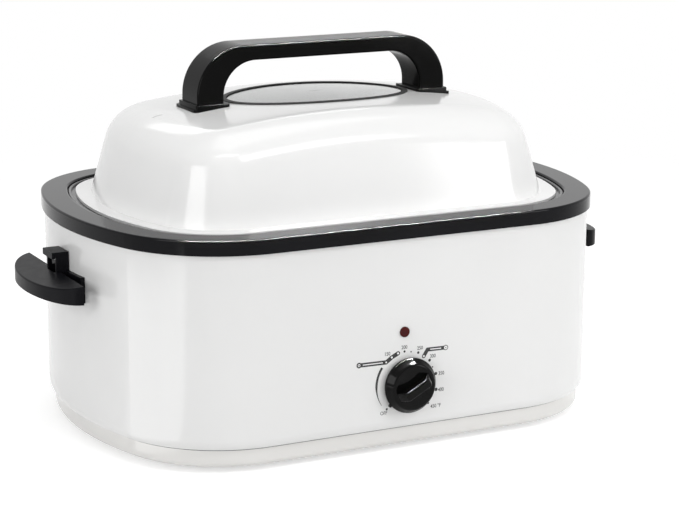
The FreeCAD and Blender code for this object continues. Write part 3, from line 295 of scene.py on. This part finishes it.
def paint_shade_above(finish, height, colour):
    """Painted shade in a seam: whatever lies above the height is painted in the dark colour, as the shadow
    there.
    """
    tree = finish.node_tree
    base_colour = tree.nodes["Principled BSDF"].inputs["Base Color"]
    place = tree.nodes.new("ShaderNodeTexCoord")
    parts = tree.nodes.new("ShaderNodeSeparateXYZ")
    above = tree.nodes.new("ShaderNodeMath")
    above.operation = "GREATER_THAN"
    above.inputs[1].default_value = height
    mix = tree.nodes.new("ShaderNodeMixRGB")
    mix.inputs["Color2"].default_value = (*colour, 1)
    tree.links.new(place.outputs["Object"], parts.inputs["Vector"])
    tree.links.new(parts.outputs["Z"], above.inputs[0])
    tree.links.new(above.outputs["Value"], mix.inputs["Fac"])
    tree.links.new(base_colour.links[0].from_socket, mix.inputs["Color1"])
    tree.links.new(mix.outputs["Color"], base_colour)


SEAM_Z = 0.0228
casing_white = white_enamel("casing_white", (0.84, 0.84, 0.835))
base_white = white_enamel("base_white", (0.80, 0.79, 0.77))
# The base pan's top edge above SEAM_Z is painted near black: painted shade in the seam under the casing's
# foot.
paint_shade_above(base_white, SEAM_Z, (0.02, 0.02, 0.02))
dress(casing_white, "outer_casing")
dress(base_white, "base_pan")


# ---- Rim ----
# A black moulded channel covers the casing's raw edge. It is glossy, with a soft round on its upper corner,
# and eight screws hold it on moulded bosses.
def black_plastic(name, colour, gloss, shine):
    finish, shader, place = start_material(name)
    lighter = tuple(c * 1.6 for c in colour)
    shader.inputs["Specular IOR Level"].default_value = shine
    tint(finish, noise(finish, place, 14.0), shader.inputs["Base Color"], colour, lighter)
    vary(finish, noise(finish, place, 90.0, 5.0), shader.inputs["Roughness"], gloss, gloss + 0.06)
    relief(finish, shader, noise(finish, place, 340.0, 2.0), 0.00003, 0.5)
    return finish


rim_black = black_plastic("rim_black", (0.003, 0.003, 0.004), 0.06, 0.11)
dress(rim_black, "rim")
black_pieces.objects.link(nodes["rim"])


# ---- Well, heater, insulation and studs ----
# The fixed well is deep-drawn steel in a speckled dark enamel. A flat element wraps it behind a felted glass
# blanket; brass posts carry its leads. Zinc-plated studs on spacers tie the well and the shield to the base.
def speckled_enamel(name, ground, speck):
    finish, shader, place = start_material(name)
    tree = finish.node_tree
    cells = tree.nodes.new("ShaderNodeTexVoronoi")
    cells.inputs["Scale"].default_value = 420.0
    tree.links.new(place, cells.inputs["Vector"])
    tint(finish, cells.outputs["Distance"], shader.inputs["Base Color"], speck, ground, 0.10, 0.20)
    vary(finish, noise(finish, place, 40.0), shader.inputs["Roughness"], 0.20, 0.30)
    relief(finish, shader, noise(finish, place, 220.0, 2.0), 0.00005, 0.6)
    return finish


def metal(name, colour, roughness, stretch=(1, 1, 1)):
    """Plated or bare metal with a fine grain, drawn out along the axes that stretch gives small values."""
    finish, shader, place = start_material(name)
    darker = tuple(c * 0.85 for c in colour)
    shader.inputs["Metallic"].default_value = 1.0
    tint(finish, noise(finish, place, 35.0, 4.0), shader.inputs["Base Color"], darker, colour)
    grain = noise(finish, place, 700.0, 4.0, stretch)
    vary(finish, grain, shader.inputs["Roughness"], roughness * 0.8, roughness * 1.2)
    relief(finish, shader, grain, 0.00001, 0.5)
    return finish


def felt(name, colour):
    """Matted fibres."""
    finish, shader, place = start_material(name)
    darker = tuple(c * 0.7 for c in colour)
    fibres = noise(finish, place, 500.0, 8.0, (0.3, 0.3, 1))
    tint(finish, fibres, shader.inputs["Base Color"], darker, colour)
    relief(finish, shader, fibres, 0.0008)
    shader.inputs["Roughness"].default_value = 0.95
    shader.inputs["Sheen Weight"].default_value = 0.3
    return finish


def braid(name, colour):
    """A woven glass sleeve: two sets of threads that cross."""
    finish, shader, place = start_material(name)
    tree = finish.node_tree
    threads = tree.nodes.new("ShaderNodeTexChecker")
    threads.inputs["Scale"].default_value = 1400.0
    tree.links.new(place, threads.inputs["Vector"])
    tint(finish, threads.outputs["Fac"], shader.inputs["Base Color"], tuple(c * 0.75 for c in colour), colour)
    relief(finish, shader, threads.outputs["Fac"], 0.0002, 0.6)
    shader.inputs["Roughness"].default_value = 0.8
    return finish


dark_enamel = speckled_enamel("dark_enamel", (0.018, 0.018, 0.020), (0.20, 0.20, 0.21))
zinc = metal("zinc_plate", (0.62, 0.62, 0.60), 0.32)
tinted_steel = metal("heat_tinted_steel", (0.36, 0.33, 0.29), 0.40, (0.05, 0.05, 1))
brass = metal("brass", (0.72, 0.52, 0.22), 0.28)
aluminium = metal("mill_aluminium", (0.74, 0.74, 0.75), 0.30, (0.05, 1, 1))
dress(dark_enamel, "cook_well")
dress(tinted_steel, "heater_band")
dress(zinc, "heater_clamp", "tie_studs", "stud_spacers", "stud_nuts", "rim_screws")
dress(brass, "heater_terminals")
dress(braid("woven_sleeve", (0.80, 0.78, 0.68)), "heater_leads", "internal_leads")
dress(felt("glass_fibre", (0.82, 0.78, 0.60)), "insulation_blanket")
dress(aluminium, "heat_shield")


# ---- Feet ----
# Four pads moulded in black rubber stand under the base pan. Each is held by one pan-head screw, whose head
# lies up inside a recess and never touches the table.
def rubber(name, colour):
    finish, shader, place = start_material(name)
    lighter = tuple(c * 1.5 for c in colour)
    tint(finish, noise(finish, place, 60.0), shader.inputs["Base Color"], colour, lighter)
    relief(finish, shader, noise(finish, place, 900.0, 3.0), 0.00008)
    shader.inputs["Roughness"].default_value = 0.72
    return finish


def edit(piece):
    """Opens one piece for editing, with nothing picked."""
    hold(piece)
    bpy.ops.object.mode_set(mode="EDIT")
    bpy.ops.mesh.select_all(action="DESELECT")


def pick(piece, kind, test):
    """Picks the points, edges or faces that pass a test on their middle and their normal or direction."""
    bpy.ops.mesh.select_mode(type=kind)
    bpy.ops.mesh.select_all(action="DESELECT")
    mesh = bmesh.from_edit_mesh(piece.data)
    if kind == "FACE":
        found = [face for face in mesh.faces if test(face.calc_center_median(), face.normal)]
    elif kind == "EDGE":
        found = [edge for edge in mesh.edges if test((edge.verts[0].co + edge.verts[1].co) / 2,
                                                     (edge.verts[1].co - edge.verts[0].co).normalized())]
    else:
        found = [point for point in mesh.verts if test(point.co, point.normal)]
    for part in found:
        part.select_set(True)
    bmesh.update_edit_mesh(piece.data)


def extrude(x, y, z):
    bpy.ops.mesh.extrude_region_move(TRANSFORM_OT_translate={"value": (x, y, z)})


def outwards(piece):
    """Merges doubled points and turns every face outwards."""
    edit(piece)
    bpy.ops.mesh.select_all(action="SELECT")
    bpy.ops.mesh.remove_doubles(threshold=0.000001)
    bpy.ops.mesh.normals_make_consistent(inside=False)
    bpy.ops.object.mode_set(mode="OBJECT")


def settle(piece, matrix=Matrix()):
    """Puts a piece in its place, and the place in its mesh."""
    bpy.context.view_layer.update()
    piece.matrix_world = matrix @ piece.matrix_world
    hold(piece)
    bpy.ops.object.transform_apply(location=True, rotation=True, scale=True)


def join(name, pieces):
    hold(*pieces)
    bpy.ops.object.join()
    pieces[0].name = name
    return pieces[0]


def copies(model, name, places):
    """One piece made of a copy of the model at each place; the model itself is used up."""
    made = []
    for place in places:
        copy = model.copy()
        copy.data = model.data.copy()
        scene.collection.objects.link(copy)
        copy.matrix_world = place
        made.append(copy)
    bpy.data.objects.remove(model, do_unlink=True)
    for copy in made:
        settle(copy)
    return join(name, made)


def hand_over(piece, finish, body, slot, *replaced, smooth=35):
    """Gives a finished piece its material and its body, and hides the CAD nodes that it stands for."""
    hold(piece)
    bpy.ops.object.shade_smooth_by_angle(angle=radians(smooth))
    piece.data.materials.clear()
    piece.data.materials.append(finish)
    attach(piece, body)
    if replaced:
        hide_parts(*replaced)


HEAD_R = 0.0040
HEAD_H = 0.0022
HEAD_ROUND = 0.0010
SHANK_R = 0.0019
SHANK_TIP = 0.001
RECESS = 0.0036
RECESS_H = 0.0026


def pan_head_screw(length):
    """A screw with its domed head below Z = 0 and its shank above; a cross recess is sunk in the head."""
    hold()
    bpy.ops.mesh.primitive_cylinder_add(vertices=40, radius=HEAD_R, depth=HEAD_H,
                                        location=(0, 0, -HEAD_H / 2))
    screw = bpy.context.object
    settle(screw)
    edit(screw)
    pick(screw, "EDGE", lambda middle, along: middle.z < -HEAD_H * 0.99)
    bpy.ops.mesh.bevel(offset=HEAD_ROUND, segments=5, affect="EDGES")
    pick(screw, "FACE", lambda middle, normal: normal.z > 0.9)
    bpy.ops.mesh.inset(thickness=HEAD_R - SHANK_R)
    extrude(0, 0, length - SHANK_TIP)
    extrude(0, 0, SHANK_TIP)
    bpy.ops.transform.resize(value=(0.6, 0.6, 1))
    bpy.ops.object.mode_set(mode="OBJECT")
    for turn in (0, pi / 2):
        hold()
        bpy.ops.mesh.primitive_cube_add(size=1, location=(0, 0, -HEAD_H), rotation=(0, 0, turn),
                                        scale=(RECESS, RECESS / 4, RECESS_H))
        slot_tool = bpy.context.object
        settle(slot_tool)
        edit(slot_tool)
        pick(slot_tool, "FACE", lambda middle, normal: normal.z > 0.9)
        bpy.ops.transform.resize(value=(0.45, 0.45, 1))
        bpy.ops.object.mode_set(mode="OBJECT")
        cut = screw.modifiers.new("recess", "BOOLEAN")
        cut.operation = "DIFFERENCE"
        cut.solver = "EXACT"
        cut.object = slot_tool
        bpy.context.view_layer.objects.active = screw
        bpy.ops.object.modifier_apply(modifier=cut.name)
        bpy.data.objects.remove(slot_tool, do_unlink=True)
    return screw


foot_rubber = rubber("foot_rubber", (0.022, 0.022, 0.022))
dress(foot_rubber, "feet")
FOOT_X = 0.194
FOOT_Y = 0.118
FOOT_HEAD_Z = 0.0032
FOOT_SCREW_L = 0.010


def at_corners(far_x, far_y, z, turn):
    """Four places round the oven's middle, each turned a little more than the last."""
    corners = ((-far_x, -far_y), (far_x, -far_y), (far_x, far_y), (-far_x, far_y))
    return [Matrix.Translation((x, MIDDLE_Y + y, z)) @ Matrix.Rotation(turn * i, 4, "Z")
            for i, (x, y) in enumerate(corners)]


foot_places = at_corners(FOOT_X, FOOT_Y, FOOT_HEAD_Z, 0.6)
foot_screws = copies(pan_head_screw(FOOT_SCREW_L), "foot_screw_set", foot_places)
hand_over(foot_screws, zinc, "housing", "plated_steel", "foot_screws")


# ---- Thermostat and lamp ----
# The switch block, its nut and its tabs sit behind the front, and the leads end in a terminal block at the
# back. Outside only the lamp's clear red lens and the block's two screws show.
def moulded(name, colour):
    """Unpolished moulding with a fine spark-eroded grain."""
    finish, shader, place = start_material(name)
    lighter = tuple(min(1.0, c * 1.15) for c in colour)
    tint(finish, noise(finish, place, 50.0), shader.inputs["Base Color"], colour, lighter)
    relief(finish, shader, noise(finish, place, 1100.0, 2.0), 0.00006)
    shader.inputs["Roughness"].default_value = 0.5
    return finish


def clear_red(name):
    finish, shader, place = start_material(name)
    cloud = noise(finish, place, 220.0)
    tint(finish, cloud, shader.inputs["Base Color"], (0.05, 0.002, 0.002), (0.08, 0.004, 0.003))
    vary(finish, noise(finish, place, 400.0), shader.inputs["Roughness"], 0.05, 0.10)
    shader.inputs["Specular IOR Level"].default_value = 0.1
    shader.inputs["Coat Weight"].default_value = 0.06
    shader.inputs["Coat Roughness"].default_value = 0.03
    return finish


dark_moulding = moulded("dark_moulding", (0.03, 0.03, 0.03))
pale_moulding = moulded("pale_moulding", (0.72, 0.69, 0.60))
dress(dark_moulding, "thermostat_body", "cord_gland")
dress(brass, "thermostat_nut", "thermostat_terminals")
dress(aluminium, "sensor_pad")
dress(clear_red("clear_red"), "indicator_lens")
dress(pale_moulding, "indicator_lamp", "terminal_block")
dress(zinc, "lamp_clip", "control_shaft", "knob_clip")
BACK_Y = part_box("outer_casing")[1].y
BLOCK_X = 0.009
BLOCK_Z = 0.059
BLOCK_SCREW_L = 0.009
upright = Matrix.Rotation(pi / 2, 4, "X")
block_places = [Matrix.Translation((x, BACK_Y, BLOCK_Z)) @ upright @ Matrix.Rotation(x * 60, 4, "Z")
                for x in (-BLOCK_X, BLOCK_X)]
block_screws = copies(pan_head_screw(BLOCK_SCREW_L), "block_screw_set", block_places)
hand_over(block_screws, zinc, "housing", "plated_steel", "block_screws")


# ---- Dial ----
# The dial is printed on the enamel in black ink: heat marks that grow clockwise, their numbers, a sweep that
# swells from OFF, and two pointing bars. The bars' dots, rings and plain lines are printed over them in
# white.
def ink(name, colour):
    finish, shader, place = start_material(name)
    thinner = tuple(min(1.0, c + 0.02) for c in colour)
    tint(finish, noise(finish, place, 800.0), shader.inputs["Base Color"], colour, thinner)
    vary(finish, noise(finish, place, 500.0), shader.inputs["Roughness"], 0.32, 0.42)
    return finish


MM = 0.001
KNOB_X = 4.5 * MM
KNOB_Z = 65.5 * MM
KNOB_REACH = 21.5
FRONT_Y = cad_low[1] + KNOB_REACH * MM
BLACK_H = 0.05
WHITE_H = 0.09
LETTER_H = 5.0
LETTER_SWELL = 0.05
LETTER_WIDTH = 0.83
on_front = Matrix.Translation((0, FRONT_Y, 0)) @ upright
on_dial = Matrix.Translation((KNOB_X, FRONT_Y, KNOB_Z)) @ upright


def mark(x0, z0, x1, z1, width, height):
    """A printed bar with round ends, or a dot where its ends meet; the sizes are in millimetres."""
    length = sqrt((x1 - x0) ** 2 + (z1 - z0) ** 2)
    hold()
    bpy.ops.mesh.primitive_circle_add(vertices=24, radius=width / 2 * MM, fill_type="NGON")
    bar = bpy.context.object
    edit(bar)
    if length:
        pick(bar, "VERT", lambda point, normal: point.x > -0.00001)
        bpy.ops.transform.translate(value=(length * MM, 0, 0))
    bpy.ops.mesh.select_all(action="SELECT")
    extrude(0, 0, height * MM)
    bpy.ops.object.mode_set(mode="OBJECT")
    outwards(bar)
    along = Matrix.Rotation(atan2(z1 - z0, x1 - x0), 4, "Z")
    settle(bar, on_front @ Matrix.Translation((x0 * MM, z0 * MM, 0)) @ along)
    return bar


def dot(x, z, size, height=BLACK_H):
    return mark(x, z, x, z, size, height)


def label(text, x, z):
    """A printed number or word, upright, with its middle at x, z."""
    hold()
    bpy.ops.object.text_add()
    words = bpy.context.object
    words.data.body = text
    words.data.size = LETTER_H * MM
    words.data.offset = LETTER_SWELL * MM
    words.data.align_x = "CENTER"
    words.data.align_y = "CENTER"
    words.data.extrude = BLACK_H / 2 * MM
    words.data.resolution_u = 4
    bpy.ops.object.convert(target="MESH")
    words = bpy.context.object
    narrow = Matrix.Diagonal((LETTER_WIDTH, 1, 1, 1))
    settle(words, on_front @ Matrix.Translation((x * MM, z * MM, BLACK_H / 2 * MM)) @ narrow)
    return words


HEAT_DOTS = ((0.2, 97.65, 2.2), (7.05, 96.6, 1.5), (14.7, 94.8, 2.5), (26.85, 85.95, 2.8), (30.1, 79.0, 1.5),
             (33.6, 72.1, 3.1), (34.1, 56.6, 3.4), (25.7, 44.6, 2.6), (-18.0, 44.3, 2.2))
HEAT_LABELS = (("150", -17.8, 97.35), ("200", 0.0, 101.6), ("250", 16.5, 98.9), ("300", 30.2, 89.5),
               ("350", 39.5, 71.7), ("400", 39.3, 55.8), ("450 \u00b0F", 33.9, 40.6), ("OFF", -21.1, 40.7))
black_marks = [dot(*place) for place in HEAT_DOTS]
black_marks += [label(*words) for words in HEAT_LABELS]

SWEEP_X = 3.0
SWEEP_Z = 66.5
SWEEP_R = 31.9
SWEEP_W = 2.3
SWEEP_START = 145
SWEEP_EVEN = 35
SWEEP_STEP = 3.1
SWEEP_TAPER = 0.853
SWEEP_STUB = 0.1
hold()
bpy.ops.mesh.primitive_plane_add(size=SWEEP_STUB * MM, location=(SWEEP_R * MM, 0, 0))
sweep = bpy.context.object
settle(sweep)
edit(sweep)
bpy.ops.mesh.select_all(action="SELECT")
bpy.ops.transform.resize(value=(SWEEP_W / SWEEP_STUB, 1, 1))
pick(sweep, "EDGE", lambda middle, along: middle.y > 0.00004)
bpy.ops.mesh.spin(steps=12, angle=radians(-SWEEP_EVEN), center=(0, 0, 0), axis=(0, 0, 1))
for step in range(11):
    bpy.ops.mesh.spin(steps=1, angle=radians(-SWEEP_STEP), center=(0, 0, 0), axis=(0, 0, 1))
    bpy.ops.transform.resize(value=(SWEEP_TAPER, SWEEP_TAPER, 1))
bpy.ops.mesh.select_all(action="SELECT")
extrude(0, 0, BLACK_H * MM)
bpy.ops.object.mode_set(mode="OBJECT")
outwards(sweep)
sweep_turn = Matrix.Rotation(radians(SWEEP_START), 4, "Z")
settle(sweep, on_front @ Matrix.Translation((SWEEP_X * MM, SWEEP_Z * MM, 0)) @ sweep_turn)
black_marks.append(sweep)

LOW_BAR = ((-47.0, 90.1), (-18.9, 89.6), (-13.1, 93.6), (-6.6, 96.7))
LOW_LINE = (-42.8, 90.0, -22.8, 89.65)
HIGH_BAR = ((43.9, 96.1), (24.4, 96.5), (20.6, 90.6))
HIGH_LINE = (27.6, 96.45, 38.6, 96.15)
LINE_W = 0.9
BEND_DOT = 1.7
BAR_DOT = 2.0
LAYER = 0.005
white_marks = []
for points, width, rings in ((LOW_BAR, 4.2, (2.6, 1.3)), (HIGH_BAR, 3.9, (3.7, 1.2))):
    for i in range(len(points) - 1):
        black_marks.append(mark(*points[i], *points[i + 1], width, BLACK_H - 0.004 * i))
    black_marks.append(dot(*points[0], width + 1.2, BLACK_H + LAYER))
    white_marks.append(dot(*points[0], rings[0], WHITE_H))
    black_marks.append(dot(*points[0], rings[1], WHITE_H + 2 * LAYER))
    for point in points[2:]:
        white_marks.append(dot(*point, BAR_DOT, WHITE_H))
white_marks.append(dot(*LOW_BAR[1], BEND_DOT, WHITE_H))
white_marks.append(mark(*LOW_LINE, LINE_W, WHITE_H))
white_marks.append(mark(*HIGH_LINE, LINE_W, WHITE_H))
black_ink = ink("black_ink", (0.01, 0.01, 0.01))
white_ink = ink("white_ink", (0.88, 0.88, 0.87))
hand_over(join("dial_print_black", black_marks), black_ink, "housing", "moulded_dark")
hand_over(join("dial_print_white", white_marks), white_ink, "housing", "white_casing")


# ---- Knob ----
# A glossy black moulded cap: a sloping skirt, a face with a rounded edge, a straight grip bar across it and
# a small pointer tooth at the foot of the skirt. Its back is hollow, and it turns with the control shaft.
knob_black = black_plastic("knob_black", (0.002, 0.002, 0.002), 0.06, 0.10)
KNOB_RINGS = ((1.5, 25.4), (2.1, 26.0), (2.7, 26.3), (5.0, 26.4), (5.6, 26.2), (6.1, 25.6), (11.0, 22.7),
              (11.6, 22.2), (12.1, 21.6), (12.4, 20.9), (12.5, 20.2), (12.5, 18.8), (12.2, 17.6),
              (12.1, 10.0), (12.1, 3.0))
KNOB_WALL = 3.0
KNOB_HOLLOW = 6.0
hold()
bpy.ops.mesh.primitive_circle_add(vertices=112, radius=KNOB_RINGS[0][1] * MM, fill_type="NGON",
                                  location=(0, 0, KNOB_RINGS[0][0] * MM))
skirt = bpy.context.object
settle(skirt)
edit(skirt)
bpy.ops.mesh.select_all(action="SELECT")
for (z0, r0), (z1, r1) in zip(KNOB_RINGS, KNOB_RINGS[1:]):
    extrude(0, 0, (z1 - z0) * MM)
    bpy.ops.transform.resize(value=(r1 / r0, r1 / r0, 1), center_override=(0, 0, z1 * MM))
bpy.ops.object.mode_set(mode="OBJECT")
outwards(skirt)
edit(skirt)
pick(skirt, "FACE", lambda middle, normal: normal.z < -0.9 and middle.z < 0.0016)
bpy.ops.mesh.inset(thickness=KNOB_WALL * MM)
extrude(0, 0, KNOB_HOLLOW * MM)
bpy.ops.object.mode_set(mode="OBJECT")

BAR_L = 39.0
BAR_W = 11.0
BAR_FOOT = 10.5
BAR_TOP = KNOB_REACH
BAR_NARROWS = (0.68, 0.80, 1)
BAR_END_ROUND = 2.0
BAR_TOP_ROUND = 1.1
BAR_TURN = 208
hold()
bpy.ops.mesh.primitive_cube_add(size=1, location=(0, 0, (BAR_TOP + BAR_FOOT) / 2 * MM),
                                scale=(BAR_L * MM, BAR_W * MM, (BAR_TOP - BAR_FOOT) * MM))
bar = bpy.context.object
settle(bar)
edit(bar)
pick(bar, "FACE", lambda middle, normal: normal.z > 0.9)
bpy.ops.transform.resize(value=BAR_NARROWS)
pick(bar, "EDGE", lambda middle, along: abs(along.z) > 0.5)
bpy.ops.mesh.bevel(offset=BAR_END_ROUND * MM, segments=5, affect="EDGES")
pick(bar, "EDGE", lambda middle, along: middle.z > (BAR_TOP - 0.01) * MM)
bpy.ops.mesh.bevel(offset=BAR_TOP_ROUND * MM, segments=4, affect="EDGES")
bpy.ops.object.mode_set(mode="OBJECT")

TOOTH_X = 25.8
TOOTH_Z = 3.2
TOOTH_L = 5.2
TOOTH_W = 4.4
TOOTH_H = 3.2
TOOTH_NARROWS = (1, 0.45, 0.8)
TOOTH_ROUND = 0.5
TOOTH_TURN = 220
hold()
bpy.ops.mesh.primitive_cube_add(size=1, location=(TOOTH_X * MM, 0, TOOTH_Z * MM),
                                scale=(TOOTH_L * MM, TOOTH_W * MM, TOOTH_H * MM))
tooth = bpy.context.object
settle(tooth)
edit(tooth)
pick(tooth, "FACE", lambda middle, normal: normal.x > 0.9)
bpy.ops.transform.resize(value=TOOTH_NARROWS)
bpy.ops.mesh.select_all(action="SELECT")
bpy.ops.mesh.bevel(offset=TOOTH_ROUND * MM, segments=3, affect="EDGES")
bpy.ops.object.mode_set(mode="OBJECT")
settle(bar, Matrix.Rotation(radians(BAR_TURN), 4, "Z"))
settle(tooth, Matrix.Rotation(radians(TOOTH_TURN), 4, "Z"))
knob_cap = join("knob_cap", [skirt, bar, tooth])
settle(knob_cap, on_dial)
hand_over(knob_cap, knob_black, "knob", "black_gloss", "knob")
black_pieces.objects.link(knob_cap)


# ---- Side handles ----
# Each is one black moulding: a plate screwed to the casing's end, a half-moon grip with a sunk deck, and an
# upright slot behind it that parks the lid's edge. The finish is satin, duller than the rim.
handle_black = black_plastic("handle_black", (0.004, 0.004, 0.005), 0.30, 0.05)
dress(handle_black, "right_handle", "left_handle")
dress(zinc, "side_screws", "side_washers")


# ---- Roasting pan and rack ----
# The lift-out pan is pressed steel in the same speckled enamel as the well, with a rolled flange; the rack is
# bent and welded wire with bright chrome plating.
dress(dark_enamel, "roasting_pan")
dress(metal("bright_chrome", (0.80, 0.80, 0.81), 0.10), "roasting_rack")


# ---- Lid ----
# The dome is drawn from one steel sheet and enamelled white. An oval of toughened glass is sealed into its
# front by a rubber gasket, and a black moulded bow spans the crown.
lid_white = white_enamel("lid_white", (0.935, 0.935, 0.93))
dress(lid_white, "lid_shell")
dress(rubber("gasket_black", (0.012, 0.012, 0.012)), "window_gasket")
bow_black = black_plastic("bow_black", (0.003, 0.003, 0.003), 0.08, 0.05)
dress(bow_black, "lid_handle")
black_pieces.objects.link(nodes["lid_handle"])
dress(zinc, "grip_washers")


def clear_glass(name):
    """Toughened glass that lets lamp light through to what lies below it."""
    finish, shader, place = start_material(name)
    tree = finish.node_tree
    shader.inputs["Base Color"].default_value = (0.93, 0.95, 0.94, 1)
    shader.inputs["Transmission Weight"].default_value = 1.0
    shader.inputs["IOR"].default_value = 1.5
    vary(finish, noise(finish, place, 30.0), shader.inputs["Roughness"], 0.0, 0.015)
    clear = tree.nodes.new("ShaderNodeBsdfTransparent")
    clear.inputs["Color"].default_value = (0.9, 0.92, 0.91, 1)
    mix = tree.nodes.new("ShaderNodeMixShader")
    rays = tree.nodes.new("ShaderNodeLightPath")
    tree.links.new(rays.outputs["Is Shadow Ray"], mix.inputs["Fac"])
    tree.links.new(shader.outputs["BSDF"], mix.inputs[1])
    tree.links.new(clear.outputs["BSDF"], mix.inputs[2])
    tree.links.new(mix.outputs["Shader"], tree.nodes["Material Output"].inputs["Surface"])
    return finish


dress(clear_glass("window_glass_clear"), "window_glass")


# ---- Base plates and screws of the lid's handle ----
# Each leg stands on a moulded plate with a flange that follows the crown and a narrower collar above it.
# Two pan-head screws come up through the lid into each leg.
PLATE_X = 119.26
PLATE_W = 37.3
PLATE_D = 50.0
PLATE_TOP = 312.3
PLATE_CORNER = 5.0
PLATE_ROUND = 1.1
FLANGE_LEDGE = 2.6
FLANGE_H = 2.6
COLLAR_ROUND = 0.6
STEP = 0.1
hold()
bpy.ops.mesh.primitive_plane_add(size=PLATE_W * MM,
                                 location=(PLATE_X * MM, MIDDLE_Y, (PLATE_TOP - 2 * STEP) * MM))
plate = bpy.context.object
settle(plate)
edit(plate)
bpy.ops.mesh.select_all(action="SELECT")
bpy.ops.transform.resize(value=(1, PLATE_D / PLATE_W, 1))
bpy.ops.mesh.bevel(offset=PLATE_CORNER * MM, segments=6, affect="VERTICES")
bpy.ops.mesh.select_all(action="SELECT")
extrude(0, 0, STEP * MM)
bpy.ops.mesh.inset(thickness=FLANGE_LEDGE * MM)
extrude(0, 0, STEP * MM)
bpy.ops.object.mode_set(mode="OBJECT")
outwards(plate)
for group, below_top, lift in (("foot", 2 * STEP, 0.0), ("flange", STEP, FLANGE_H)):
    ring_z = (PLATE_TOP - below_top) * MM
    ring = [point.index for point in plate.data.vertices if abs(point.co.z - ring_z) < STEP / 2 * MM]
    plate.vertex_groups.new(name=group).add(ring, 1.0, "REPLACE")
    lay = plate.modifiers.new("lay_on_crown", "SHRINKWRAP")
    lay.target = nodes["lid_shell"]
    lay.wrap_method = "PROJECT"
    lay.use_project_z = True
    lay.use_negative_direction = True
    lay.use_positive_direction = False
    lay.offset = lift * MM
    lay.vertex_group = group
    bpy.context.view_layer.objects.active = plate
    bpy.ops.object.modifier_apply(modifier=lay.name)
plate.vertex_groups.clear()
edit(plate)
pick(plate, "EDGE", lambda middle, along: abs(along.z) < 0.5 and middle.z > (PLATE_TOP - 0.01) * MM)
bpy.ops.mesh.bevel(offset=COLLAR_ROUND * MM, segments=3, affect="EDGES")
bpy.ops.object.mode_set(mode="OBJECT")
rounded = plate.modifiers.new("rounded", "BEVEL")
rounded.width = PLATE_ROUND * MM
rounded.segments = 3
rounded.limit_method = "ANGLE"
rounded.angle_limit = radians(50)
bpy.ops.object.modifier_apply(modifier=rounded.name)
left_plate = plate.copy()
left_plate.data = plate.data.copy()
scene.collection.objects.link(left_plate)
settle(left_plate, Matrix.Diagonal((-1, 1, 1, 1)))
outwards(left_plate)
plate.name = "leg_plate_right"
left_plate.name = "leg_plate_left"
hand_over(plate, bow_black, "lid", "black_gloss", "grip_base_right")
hand_over(left_plate, bow_black, "lid", "black_gloss", "grip_base_left")
black_pieces.objects.link(plate)
black_pieces.objects.link(left_plate)
GRIP_SCREW_Y = 0.012
GRIP_SCREW_Z = 0.30517
GRIP_SCREW_L = 0.01913
grip_places = at_corners(PLATE_X * MM, GRIP_SCREW_Y, GRIP_SCREW_Z, 0.5)
grip_screws = copies(pan_head_screw(GRIP_SCREW_L), "grip_screw_set", grip_places)
hand_over(grip_screws, zinc, "lid", "plated_steel", "grip_screws")
